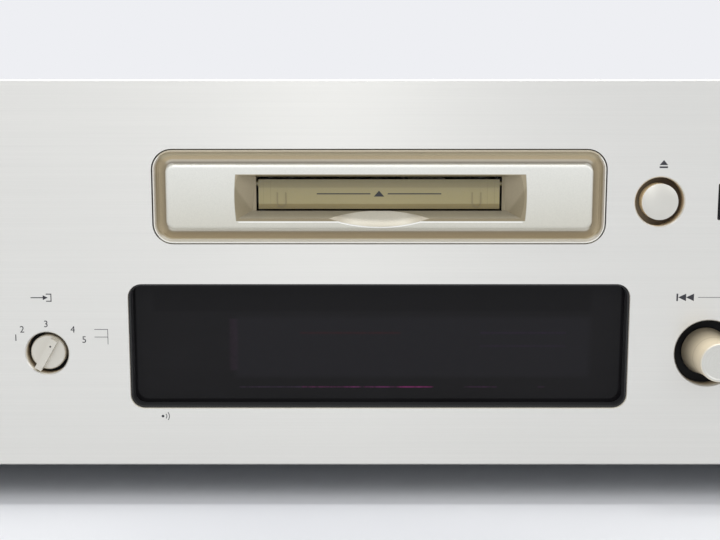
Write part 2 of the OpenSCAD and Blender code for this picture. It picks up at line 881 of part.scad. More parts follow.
// Outer level ring with its hollow shaft
module level_knob_outer() {
    color("beige") difference() {
        union() {
            long_knob(level_x, level_r, level_r - 1.2, level_proud, 3.2);
            control_shaft(level_x, 3, level_depth, level_sleeve_r, 6);
        }
        rod_front(level_x, knob_z, -level_proud - 1, 1, level_inner_r + 0.4);
        rod_front(level_x, knob_z, 0, back_b + level_depth, level_shaft_r + 0.05);
    }
}

module level_knob_inner() {
    color("beige") union() {
        long_knob(level_x, level_inner_r, level_inner_r - 1, knob_proud, 0.7);
        control_shaft(level_x, 0.6, level_depth, level_shaft_r, 0.5);
    }
}

module phones_knob() {
    color("beige") union() {
        long_knob(phones_knob_x, phones_knob_r, phones_knob_r - 0.8, 8, 3.2);
        control_shaft(phones_knob_x, 3, jog_depth, shaft_r, 0.3);
    }
}

// Headphone socket: ring nut in the panel, sleeve and body behind it
module phones_jack() {
    color("black") difference() {
        union() {
            rod_front(power_x, knob_z, -0.8, back_b + 2, 5);
            translate([power_x, 0, knob_z]) front_slab(back_b + 1, back_b + 25)
                square([13, 15], center = true);
        }
        rod_front(power_x, knob_z, -2, back_b + 22, phones_bore_r);
        cone_front(power_x, knob_z, -0.8 - eps, 0, phones_bore_r + 0.8, phones_bore_r);
    }
}

module power_button() {
    color("beige") round_button(power_x, button_z, 22, button_r + 0.8);
}

// Mains switch: a box whose plunger hole takes the button's stem
module power_switch() {
    color("dimgray") difference() {
        union() {
            translate([power_x, 0, button_z]) front_slab(back_b + 6, back_b + 36)
                square([16, 14], center = true);
            for (side = [-1, 1])
                translate([power_x + side * 11, 0, button_z]) front_slab(back_b, back_b + 7.5)
                    square([3, 10], center = true);
            translate([power_x, 0, button_z]) front_slab(back_b + 6, back_b + 7.5)
                square([25, 10], center = true);
        }
        rod_front(power_x, button_z, back_b + 5, 22 + power_travel + 1, stem_r + run_gap);
    }
}

// ---- Cabinet ----

module bottom_pan() {
    front = yb(back_b);
    rear = rear_y - sheet_t;
    color("silver") difference() {
        union() {
            block([-flange_x, front, pan_z], [flange_x, rear, floor_z]);
            for (side = [0, 1])
                mirror([side, 0, 0])
                    block([flange_x - sheet_t, front, pan_z], [flange_x, rear, floor_z + flange_h]);
            block([-flange_x, rear - sheet_t, pan_z], [flange_x, rear, floor_z + 8]);
        }
        for (x = foot_xs, y = foot_ys)
            translate([x, y, pan_z - 1]) cylinder(r = screw_r + 0.1, h = 4);
        for (y = cover_screw_ys)
            rod_x(-cover_x - 1, cover_x + 1, y, cover_screw_z, screw_r + 0.1);
        // Air slots under the power supply and the main board
        for (i = [0 : 9])
            translate([psu_x + 16 + 9 * i, psu_y + 42, pan_z - 1]) linear_extrude(4)
                stadium([0, -20], [0, 20], 1.6);
        for (i = [0 : 11])
            translate([main_x + 40 + 14 * i, main_y + 60, pan_z - 1]) linear_extrude(4)
                stadium([0, -24], [0, 24], 1.6);
    }
}

module rear_panel() {
    color("silver") difference() {
        block([-flange_x, rear_y - sheet_t, pan_z], [flange_x, rear_y, cover_z - sheet_t]);
        for (x = rear_screw_xs)
            rod_front(x, cover_z - 6, body_d - 3, body_d + 3, screw_r + 0.1);
        for (x = phono_xs, k = [0, 1])
            rod_front(x, line_z + k * line_pitch, body_d - 3, body_d + 3, jack_r + 1.6);
        for (x = optical_xs)
            translate([x, 0, optical_z + 10]) front_slab(body_d - 3, body_d + 3)
                square([10.2, 10.2], center = true);
        translate([inlet_x, 0, inlet_z]) front_slab(body_d - 3, body_d + 3)
            round_rect(20.2, 13.2, 3);
        for (i = [0 : 13])
            translate([psu_x + 70 + 7 * i, 0, cover_z - 40]) front_slab(body_d - 3, body_d + 3)
                stadium([0, -10], [0, 10], 1.4);
    }
}

// Wrap-round cover with two fields of air slots and a lip over the rear panel
module top_cover() {
    front = yb(back_b);
    low = pan_z;
    color("silver") difference() {
        union() {
            block([-cover_x, front, cover_z - sheet_t], [cover_x, rear_y + sheet_t, cover_z]);
            for (side = [0, 1])
                mirror([side, 0, 0])
                    block([cover_x - sheet_t, front, low], [cover_x, rear_y, cover_z]);
            block([-cover_x, rear_y, cover_z - lip_h], [cover_x, rear_y + sheet_t, cover_z]);
        }
        for (y = cover_screw_ys)
            rod_x(-cover_x - 1, cover_x + 1, y, cover_screw_z, screw_r + 0.1);
        for (x = rear_screw_xs)
            rod_front(x, cover_z - 6, body_d - 3, body_d + 3, screw_r + 0.1);
        for (i = [0 : 23])
            translate([core_x - 46 + 4.2 * i, core_y, cover_z - 3]) linear_extrude(6)
                stadium([0, -34], [0, 34], 1.1);
        for (i = [0 : 23])
            translate([main_x + 110 + 5 * i, main_y + 60, cover_z - 3]) linear_extrude(6)
                stadium([0, -30], [0, 30], 1.1);
        for (side = [0, 1], i = [0 : 15])
            mirror([side, 0, 0])
                translate([cover_x - 3, (panel_y + rear_y) / 2 - 60 + 8 * i, cover_z - 34])
                    rotate([90, 0, 90]) linear_extrude(6) stadium([0, -14], [0, 14], 1.1);
    }
}

// Every M3 screw: cover, rear, feet and grommets
module screws() {
    color("gold") {
        for (side = [0, 1], y = cover_screw_ys)
            mirror([side, 0, 0]) translate([cover_x, y, cover_screw_z]) rotate([0, -90, 0])
                screw(5, screw_r);
        for (x = rear_screw_xs)
            translate([x, rear_y + sheet_t, cover_z - 6]) rotate([90, 0, 0]) screw(5, screw_r);
        for (x = foot_xs, y = foot_ys)
            translate([x, y, pad_t + 5]) screw(pan_z - pad_t - 5 + 3, screw_r);
        for (side = [-1, 1], y = damper_ys)
            translate([side * damper_x, spin_y + y, base_z + 1.5]) rotate([180, 0, 0])
                screw(base_z + 3.5 - bracket_z, screw_r);
    }
}

// Feet: stepped drums with a dished middle, each held by its own screw
module feet() {
    color("dimgray") for (x = foot_xs, y = foot_ys)
        translate([x, y, 0]) difference() {
            rotate_extrude($fn = 96) polygon([
                [0, pad_t + 5], [6, pad_t + 5], [8, pad_t], [foot_r - 2, pad_t],
                [foot_r - 0.6, pad_t + 1.4], [foot_r, pan_z], [0, pan_z],
            ]);
            translate([0, 0, pad_t]) cylinder(r = screw_r + 0.1, h = pan_z + 5);
        }
}

module foot_pads() {
    color("black") for (x = foot_xs, y = foot_ys)
        translate([x, y, 0]) difference() {
            cylinder(r = foot_r - 3, h = pad_t);
            translate([0, 0, -1]) cylinder(r = 9, h = pad_t + 2);
        }
}

// ---- Rear sockets ----

// Pair of phono sockets, one above the other, on one moulded body
module phono_pair(x) {
    for (k = [0, 1])
        difference() {
            union() {
                rod_front(x, line_z + k * line_pitch, body_d, body_d + jack_proud, jack_r);
                rod_front(x, line_z + k * line_pitch, body_d - 4, body_d + 1, jack_r + 1.5);
            }
            rod_front(x, line_z + k * line_pitch, body_d - 2, body_d + jack_proud + 1, jack_bore_r);
            rod_front(x, line_z + k * line_pitch, body_d + 2, body_d + jack_proud + 1, 3.2);
        }
    difference() {
        block(
            [x - 7, rear_y - sheet_t - 11, line_z - 9],
            [x + 7, rear_y - sheet_t, line_z + line_pitch + 9]
        );
        for (k = [0, 1])
            rod_front(x, line_z + k * line_pitch, body_d - 4, body_d + 1, jack_r + 1.5);
    }
}

module phono_jacks() {
    color("gold") for (x = phono_xs) phono_pair(x);
}

module optical_sockets() {
    color("black") for (x = optical_xs)
        difference() {
            union() {
                translate([x, 0, optical_z + 10]) front_slab(body_d - 14, body_d + 1)
                    square([10, 10], center = true);
                translate([x, 0, optical_z + 10]) front_slab(body_d - 14, body_d - sheet_t)
                    square([14, 12], center = true);
            }
            translate([x, 0, optical_z + 10]) front_slab(body_d - 1, body_d + 2)
                square([7.5, 7.5], center = true);
        }
}

// Two-pin mains inlet: shroud with a figure-of-eight cavity
module mains_inlet() {
    color("black") translate([inlet_x, 0, inlet_z]) {
        difference() {
            union() {
                front_slab(body_d - 18, body_d + 1.5) round_rect(20, 13, 3);
                front_slab(body_d, body_d + 1.5) round_rect(30, 17, 3);
            }
            front_slab(body_d - 11, body_d + 3) stadium([-4.3, 0], [4.3, 0], 4.3);
        }
        for (x = [-4.3, 4.3])
            rod_front(x, 0, body_d - 11 - eps, body_d - 1, 1.2);
    }
}

// ---- Electronics ----

module transformer_core() {
    z0 = floor_z + 3;
    color("gray") difference() {
        union() {
            translate([core_x, core_y, z0]) linear_extrude(core_h) square([core_w, core_d], center = true);
            translate([core_x, core_y, floor_z]) linear_extrude(3)
                square([core_w + 24, core_d], center = true);
        }
        for (side = [-1, 1])
            block(
                [core_x + side * core_w / 3 - core_w / 12, core_y - core_d, z0 + core_w / 6],
                [core_x + side * core_w / 3 + core_w / 12, core_y + core_d, z0 + core_h - core_w / 6]
            );
    }
}

// Winding round the middle limb, rounded where it bulges past the core
module transformer_winding() {
    z0 = floor_z + 3 + core_w / 6 + 0.3;
    z1 = floor_z + 3 + core_h - core_w / 6 - 0.3;
    w = core_w * 0.82;
    color("peru") translate([core_x, core_y, z0]) linear_extrude(z1 - z0) difference() {
        union() {
            square([w, core_d - 2], center = true);
            for (side = [-1, 1])
                translate([0, side * (core_d / 2 + 4)]) round_rect(w, 12, 4);
        }
        square([core_w / 2, core_d + 0.2], center = true);
        for (side = [-1, 1])
            translate([side * (core_w / 2 + 0.2 - core_w / 12 + 10), 0])
                square([20, core_d + 0.2], center = true);
    }
}

module board_posts(x0, y0, w, d) {
    for (x = [x0 + 6, x0 + w - 6], y = [y0 + 6, y0 + d - 6])
        translate([x, y, floor_z]) cylinder(r = 3, h = post_h);
}

module can(x, y, z, r, h) {
    translate([x, y, z]) rotate_extrude() polygon([
        [0, 0], [r - 0.4, 0], [r, 0.4], [r, 2], [r - 0.5, 2.6], [r, 3.2],
        [r, h - 0.6], [r - 0.6, h], [r - 1.4, h], [r - 1.6, h - 0.4], [0, h - 0.4],
    ]);
}

module power_board() {
    color("peru") {
        block([psu_x, psu_y, board_z], [psu_x + psu_w, psu_y + psu_d, board_z + board_t]);
        board_posts(psu_x, psu_y, psu_w, psu_d);
    }
}

module power_capacitors() {
    color("navy") {
        for (i = [0, 1])
            can(psu_x + 18 + 28 * i, psu_y + 20, board_z + board_t, 11, 34);
        for (i = [0 : 3])
            can(psu_x + 14 + 15 * i, psu_y + 42, board_z + board_t, 5, 16);
    }
}

// Finned heat sink with three regulators on its face
module heat_sink() {
    x0 = psu_x + 70;
    y0 = psu_y + 14;
    z0 = board_z + board_t;
    color("silver") {
        block([x0, y0, z0], [x0 + 40, y0 + 2.5, z0 + 44]);
        for (i = [0 : 7])
            block([x0 + 5.35 * i, y0 + 2.4, z0], [x0 + 5.35 * i + 1.5, y0 + 16, z0 + 44]);
    }
    color("black") for (i = [0 : 2])
        block([x0 + 3 + 12.5 * i, y0 - 4.5, z0 + 12], [x0 + 12 + 12.5 * i, y0, z0 + 28]);
}

module main_board() {
    color("darkgreen") {
        block([main_x, main_y, board_z], [main_x + main_w, main_y + main_d, board_z + board_t]);
        board_posts(main_x, main_y, main_w, main_d);
    }
}

// Chips, cans, relay and connectors of the main board
module board_parts() {
    z0 = board_z + board_t;
    color("black") {
        for (i = [0 : 3])
            translate([main_x + 110 + 32 * i, main_y + 30, z0]) cube([14, 14, 2.4]);
        block([main_x + 60, main_y + 24, z0], [main_x + 84, main_y + 48, z0 + 2.8]);
        for (i = [0 : 2])
            translate([main_x + 120 + 36 * i, main_y + 84, z0]) cube([20, 7, 4]);
    }
    color("white") for (i = [0, 1])
        block([main_x + 20 + 44 * i, main_y + 4, z0], [main_x + 52 + 44 * i, main_y + 9, z0 + 8]);
    color("navy") for (i = [0 : 5], j = [0, 1])
        can(main_x + 112 + 20 * i, main_y + 60 + 12 * j, z0, 4, 11);
    color("silver") block([main_x + 96, main_y + 12, z0], [main_x + 107, main_y + 16.5, z0 + 3.6]);
}

// Flat cable along a side view path, centred on x
module ribbon(x, w, path) {
    translate([x - w / 2, 0, 0]) rotate([90, 0, 90]) linear_extrude(w)
        for (i = [0 : len(path) - 2]) {
            run = path[i + 1] - path[i];
            translate(path[i]) rotate(atan2(run[1], run[0])) square([norm(run), ribbon_t]);
            translate(path[i]) rotate(atan2(run[1], run[0])) circle(r = ribbon_t, $fn = 24);
        }
}

// From the display board and from the mechanism to the main board's connectors
module flat_cables() {
    socket_y = main_y + 6;
    socket_z = board_z + board_t + 8;
    low_z = floor_z + 4;
    front_y = yb(board_b + board_t);
    color("white") {
        ribbon(main_x + 36, 24, [
            [front_y + 0.6, window_z - 20], [front_y + 0.6, low_z + 2],
            [front_y + 6, low_z], [socket_y - 9, low_z],
                [socket_y - 3, socket_z + 1], [socket_y, socket_z + 0.6],
        ]);
        ribbon(cable_x, 20, [
            [spin_y + base_rear - 6, base_z - base_t - 1], [spin_y + base_rear + 6, base_z - 12],
            [socket_y - 8, socket_z + 12], [socket_y, socket_z + 0.6],
        ]);
    }
}

// ---- Mechanism ----

module mech_brackets() {
    color("silver") at_spindle() for (side = [0, 1])
        mirror([side, 0, 0]) {
            difference() {
                union() {
                    block([bracket_x, bracket_front, floor_z], [bracket_x + 1.2, bracket_rear, bracket_z]);
                    block([bracket_x, bracket_front, floor_z], [bracket_x + 14, bracket_rear, floor_z + 1.2]);
                    for (y = damper_ys)
                        block([damper_x - 5.5, y - 8, bracket_z - 1.2], [bracket_x + 1.2, y + 8, bracket_z]);
                }
                for (y = damper_ys)
                    translate([damper_x, y, bracket_z - 3]) cylinder(r = screw_r + 0.1, h = 6);
                translate([bracket_x - 2, (bracket_front + bracket_rear) / 2, floor_z + 30])
                    rotate([90, 0, 90])
                    linear_extrude(6) round_rect(44, 32, 6);
            }
        }
}

// Rubber grommets between the brackets and the mechanism's base
module mech_dampers() {
    color("black") at_spindle() for (side = [-1, 1], y = damper_ys)
        translate([side * damper_x, y, 0])
            difference() {
                union() {
                    translate([0, 0, bracket_z]) cylinder(r = damper_r, h = base_z - base_t - bracket_z);
                    translate([0, 0, base_z - base_t - eps]) cylinder(r = 3.4, h = base_t + 0.1);
                    translate([0, 0, base_z]) cylinder(r = damper_r, h = 1.5);
                }
                translate([0, 0, bracket_z - 1]) cylinder(r = screw_r + 0.1, h = 12);
            }
}

module mech_base() {
    color("lightgray") at_spindle() difference() {
        union() {
            block([-base_x, base_front, base_z - base_t], [base_x, base_rear, base_z]);
            for (side = [0, 1])
                mirror([side, 0, 0]) {
                    block([frame_x, base_front, base_z - base_t], [frame_x + 1.2, base_rear - 6, cam_high]);
                    for (y = stud_ys)
                        rod_x(frame_x, cam_x + 2, y, stud_z, stud_r);
                }
            translate([gear_x, gear_y, base_z - base_t])
                cylinder(r = 2, h = wheel_low + wheel_h + 1 - base_z + base_t);
        }
        // Way for the pickup, open at the left edge for the arm's post
        block([-base_x - 1, -slot_half, base_z - 3], [lens_x + 5.8, slot_half, base_z + 1]);
        block([-base_x - 1, -slot_half, base_z - 3], [-frame_x - 3, slot_half, base_z + 1]);
        block([-frame_x - 2, -slot_half, base_z - 3], [-frame_x + 1, slot_half, base_z + 3.5]);
        translate([0, 0, base_z - 3]) cylinder(r = 2.5, h = 6);
        translate([gear_x, pinion_y, base_z - 3]) cylinder(r = 2, h = 6);
        for (side = [-1, 1], y = damper_ys)
            translate([side * damper_x, y, base_z - 3]) cylinder(r = 3.5, h = 6);
        // Feet of the side plates are cut away over the strap between the cam plates
        block([-frame_x - 2, strap_y - 0.5, base_z + eps], [frame_x + 2, base_rear, cam_low + 1.6]);
        // Saddle for the head arm
        block([-frame_x - 2, -arm_w / 2 - 1.5, pin_z + 0.3], [-frame_x + 1, arm_w / 2 + 1.5, pin_z + 9]);
        // Upright ways for the holder's pins
        for (y = pin_ys)
            translate([-frame_x - 3, y, 0]) rotate([90, 0, 90]) linear_extrude(2 * frame_x + 6)
                stadium([0, pin_z], [0, pin_z - holder_drop], pin_r + run_gap);
        for (x = [-20, 20], y = [-24, 34])
            translate([x, y, base_z - 3]) linear_extrude(6) round_rect(24, 10, 3);
    }
}

// Sheet sleeve that takes the cartridge, with a pin at each corner
module cartridge_holder() {
    color("silver") at_spindle() difference() {
        union() {
            block([-holder_out, holder_front, holder_top], [holder_out, holder_rear, roof_z]);
            for (side = [0, 1])
                mirror([side, 0, 0]) {
                    block([holder_in, holder_front, cart_z - 1], [holder_out, holder_rear, roof_z]);
                    block([holder_in - 7, holder_front, cart_z - 1], [holder_out, holder_rear, cart_z - 0.2]);
                    for (y = pin_ys)
                        rod_x(holder_out - eps, cam_x + 2.6, y, pin_z, pin_r);
                }
            block([-holder_out, holder_rear - 0.8, cart_z - 1], [holder_out, holder_rear, roof_z]);
            for (x = [9, 22])
                block(
                    [x - 0.6, hook_y - 5, roof_z - eps],
                    [x + 0.6, hook_y + hook_d + pull_travel + 9, roof_z + 1.2]
                );
        }
        block(
            [lens_x - sled_travel - 4.5, -slot_half, holder_top - 1],
            [lens_x + 5.5, slot_half, holder_top + 2]
        );
        block([14.4, hook_y - 1, holder_top - 1], [16.6, hook_y + hook_d + pull_travel + 1, holder_top + 2]);
        translate([0, holder_front - 1, holder_top - 1]) linear_extrude(4) stadium([-6, 0], [6, 0], 8);
    }
}

// Little carriage that hooks the cartridge and draws it in
module pull_carriage() {
    z0 = roof_z + 0.1;
    color("ivory") at_spindle() {
        block([9.7, hook_y - 3, z0], [21.3, hook_y + hook_d + 3, z0 + 1.6]);
        block([14.6, hook_y, cart_z + cart_t - 0.6], [16.4, hook_y + hook_d, z0 + eps]);
        block([12, hook_y + 1, z0 + 1.5], [19, hook_y + hook_d - 1, z0 + 3]);
    }
}

// Slanted way in a cam plate, from the pin's rest place to its lowered place
module cam_way(y) {
    stadium([y, pin_z], [y - cam_travel, pin_z - holder_drop], pin_r + run_gap + 0.05);
}

module cam_outline() {
    difference() {
        translate([-38, cam_low]) square([72, cam_high - cam_low]);
        for (y = pin_ys) cam_way(y);
        for (y = stud_ys)
            stadium([y, stud_z], [y - cam_travel, stud_z], stud_r + run_gap);
        translate([-arm_w / 2 - cam_travel - 2, pin_z + 0.2]) square([arm_w + cam_travel - 2, 9]);
    }
}

module cam_plates() {
    color("lightsteelblue") at_spindle() {
        for (side = [0, 1])
            mirror([side, 0, 0]) translate([cam_x, 0, 0]) rotate([90, 0, 90])
                linear_extrude(1.2) cam_outline();
        // Rack along the right plate's foot
        translate([0, 0, cam_low]) linear_extrude(rack_h) {
            translate([cam_x, -34]) square([rack_x - cam_x, 62]);
            for (i = [-9 : 5])
                translate([rack_x, gear_y + PI * gear_m * (i + 0.5)])
                    polygon([
                        [-0.5, -1.15], [1.25 * gear_m, -0.62], [2.2 * gear_m, -0.3],
                        [2.2 * gear_m, 0.3], [1.25 * gear_m, 0.62], [-0.5, 1.15],
                    ]);
        }
        // Strap that ties both plates behind the holder
        block([-cam_x - 1.2, strap_y, cam_low], [cam_x + 1.2, strap_y + 2, cam_low + 1.2]);
    }
}

module loading_gear() {
    color("ivory") at_spindle() translate([gear_x, gear_y, 0]) difference() {
        union() {
            translate([0, 0, gear_low]) linear_extrude(rack_h + 1) gear_outline(gear_m, gear_n, 0.14);
            translate([0, 0, wheel_low]) linear_extrude(wheel_h) gear_outline(wheel_m, wheel_n, 0.1);
        }
        translate([0, 0, gear_low - 1]) cylinder(r = 2 + run_gap, h = 12);
    }
}

module motor_pinion() {
    color("gold") at_spindle() translate([gear_x, pinion_y, 0]) union() {
        translate([0, 0, wheel_low - 0.3]) linear_extrude(wheel_h + 0.6) gear_outline(wheel_m, pinion_n, 0.1);
        translate([0, 0, base_z - base_t - 1]) cylinder(r = 0.75, h = wheel_low - base_z + base_t + 2);
    }
}

module loading_motor() {
    color("silver") at_spindle() translate([gear_x, pinion_y, 0]) difference() {
        translate([0, 0, base_z - base_t - 16]) cylinder(r = 6, h = 16);
        translate([0, 0, base_z - base_t - 1.5]) cylinder(r = 0.75 + run_gap, h = 3);
    }
}

module spindle_motor() {
    color("silver") at_spindle() difference() {
        union() {
            translate([0, 0, base_z - base_t - 5.5]) cylinder(r = 8.2, h = 5.5);
            translate([0, 0, base_z - base_t - 7]) cylinder(r = 3.2, h = 2);
        }
        translate([0, 0, base_z - base_t - 5]) cylinder(r = 0.75 + 0.05, h = 8);
    }
}

module turntable() {
    color("dimgray") at_spindle() union() {
        translate([0, 0, base_z + 1.4]) cylinder(r = 7, h = 2.6);
        translate([0, 0, base_z + 4 - eps]) cylinder(r1 = 1.9, r2 = 1.2, h = 1.8);
        translate([0, 0, base_z - base_t - 4.6]) cylinder(r = 0.75, h = base_t + 7);
    }
}

// Pickup: slider on two rods, lens turret, and the post that carries the head arm
module pickup_sled() {
    color("darkslategray") at_spindle() difference() {
        union() {
            block([-38, -rod_y - 4, sled_low], [-20, rod_y + 4, sled_high]);
            block([-25, -6.5, sled_high - eps], [lens_x + 5, 6.5, base_z + 2.4]);
            block([-34, rod_y + 3.9, rod_z - 3.4], [-28, screw_y + 3, rod_z + 1.4]);
            block([post_x - post_t, -6, sled_low], [-37.9, 6, sled_low + 2.5]);
            block([post_x - post_t, -6, sled_low], [post_x, 6, arm_z - 2.5]);
            for (y = [-6, 4.6])
                block([post_x - post_t, y, arm_z - 2.6], [post_x, y + 1.4, arm_z + 1.8]);
            translate([lens_x, 0, base_z + 2.3]) cylinder(r1 = 3, r2 = 2.4, h = 1.2);
        }
        for (side = [-1, 1])
            rod_x(-60, 0, side * rod_y, rod_z, rod_r + 0.05);
        rod_x(-60, 0, screw_y, screw_z, rod_r + 0.05);
        translate([arm_x, 0, arm_z]) rotate([90, 0, 0]) cylinder(r = 0.9 + 0.05, h = 20, center = true);
    }
}

module guide_rods() {
    color("silver") at_spindle() for (side = [-1, 1]) {
        rod_x(-60, -11.5, side * rod_y, rod_z, rod_r);
        for (x = [-62, -13])
            difference() {
                block([x, side * rod_y - 3, rod_z - 2.5], [x + 3, side * rod_y + 3, base_z - base_t]);
                rod_x(x - 1, x + 4, side * rod_y, rod_z, rod_r);
            }
    }
}

// Motor of the sled and the far bearing of its screw
module sled_motor() {
    color("silver") at_spindle() difference() {
        union() {
            rod_x(-9, 8, screw_y, screw_z, 5);
            block([-9, screw_y - 5, screw_z], [-7.5, screw_y + 5, base_z - base_t]);
            block([-61.5, screw_y - 3, screw_z - 3], [-59.5, screw_y + 3, base_z - base_t]);
        }
        rod_x(-63, -3, screw_y, screw_z, screw_shaft_r + run_gap);
    }
}

// Screw with a helical groove's land, thin journals at both ends
module lead_screw() {
    color("silver") at_spindle() {
        rod_x(-59.2, -9.3, screw_y, screw_z, rod_r);
        rod_x(-61, -4, screw_y, screw_z, screw_shaft_r);
    }
}

// Arm that lowers the recording head onto the disc
module head_arm() {
    color("orange") at_spindle() union() {
        translate([arm_x, 0, arm_z]) rotate([90, 0, 0]) cylinder(r = 0.9, h = 12, center = true);
        difference() {
            union() {
                translate([arm_x, 0, arm_z]) rotate([90, 0, 0]) cylinder(r = 1.8, h = 9, center = true);
                block([arm_x, -arm_w / 2, arm_z - 0.9], [lens_x + 3, arm_w / 2, arm_z + 0.5]);
            }
            translate([-36, 0, arm_z - 3]) linear_extrude(6) round_rect(20, 4, 1.5);
        }
        block([lens_x - 2.5, -2, arm_z - 4.6], [lens_x + 2.5, 2, arm_z - 0.8]);
    }
}

// ---- Output ----

front_panel();
front_frame();
loader_surround();
loader_flap();
flap_spring();
window_bezel();
display_window();
display_tube();
display_board();
remote_sensor();
eject_button();
key_frame();
key_play();
key_pause();
key_stop();
key_record();
key_board();
input_dial();
jog_shaft();
jog_knob();
level_knob_outer();
level_knob_inner();
phones_knob();
rotary_controls();
phones_jack();
power_button();
power_switch();
bottom_pan();
rear_panel();
top_cover();
screws();
feet();
foot_pads();
phono_jacks();
optical_sockets();
mains_inlet();
transformer_core();
transformer_winding();
power_board();
power_capacitors();
heat_sink();
main_board();
board_parts();
flat_cables();
mech_brackets();
mech_dampers();
mech_base();
cartridge_holder();
pull_carriage();
cam_plates();
loading_motor();
motor_pinion();
loading_gear();
spindle_motor();
turntable();
pickup_sled();
guide_rods();
sled_motor();
lead_screw();
head_arm();
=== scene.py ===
import math

import bmesh
import bpy
from mathutils import Matrix, Vector


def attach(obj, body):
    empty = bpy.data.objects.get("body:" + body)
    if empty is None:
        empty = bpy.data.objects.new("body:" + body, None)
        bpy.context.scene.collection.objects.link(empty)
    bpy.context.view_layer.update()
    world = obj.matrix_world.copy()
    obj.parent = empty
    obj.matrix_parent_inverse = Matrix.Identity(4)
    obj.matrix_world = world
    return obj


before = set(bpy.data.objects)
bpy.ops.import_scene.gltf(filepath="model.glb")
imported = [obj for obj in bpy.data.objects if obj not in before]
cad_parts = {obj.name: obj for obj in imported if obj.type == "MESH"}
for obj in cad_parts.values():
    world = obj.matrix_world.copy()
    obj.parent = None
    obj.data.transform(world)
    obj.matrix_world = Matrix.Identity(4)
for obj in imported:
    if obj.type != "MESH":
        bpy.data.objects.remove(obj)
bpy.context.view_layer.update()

MM = 0.001
PANEL_Y = -160.0  # the front panel's face
PANEL_THICK = 5.0
FLAP_Y = -156.4  # the flap's face when shut
REAR_Y = 164.0  # the rear panel's face
FLANK_PAINTED_SHADE_DEPTH = (-171.0, -158.0)  # where the painted shade on a knob's side starts and is darkest

# Middles of the controls on the front, as (x, z) in millimetres
CONTROL_Z, BUTTON_Z = 49.2, 96.0
DIAL = (-102.2, CONTROL_Z)
JOG = (101.4, CONTROL_Z)
LEVEL = (167.0, CONTROL_Z)
PHONES = (-155.0, CONTROL_Z)
SOCKET = (-190.0, CONTROL_Z)
POWER = (-190.0, BUTTON_Z)
EJECT = (84.8, BUTTON_Z)
KEY_XS = (114.91, 138.74, 162.56, 186.39)
LOADER_Z = 97.5
SPINDLE = (0.0, -108.5)  # the turntable's axis, as (x, y)
PHONO_XS = (20.0, 60.0, 90.0)
PHONO_ROWS = (45.7, 64.7)


def linear(red, green, blue):
    """A written 8-bit colour as the shader's own numbers."""
    parts = [c / 255 for c in (red, green, blue)]
    return tuple(
        c / 12.92 if c <= 0.04045 else ((c + 0.055) / 1.055) ** 2.4 for c in parts
    ) + (1.0,)


def shade(colour, gain):
    """The same 8-bit colour, lighter or darker."""
    return tuple(min(255.0, c * gain) for c in colour)


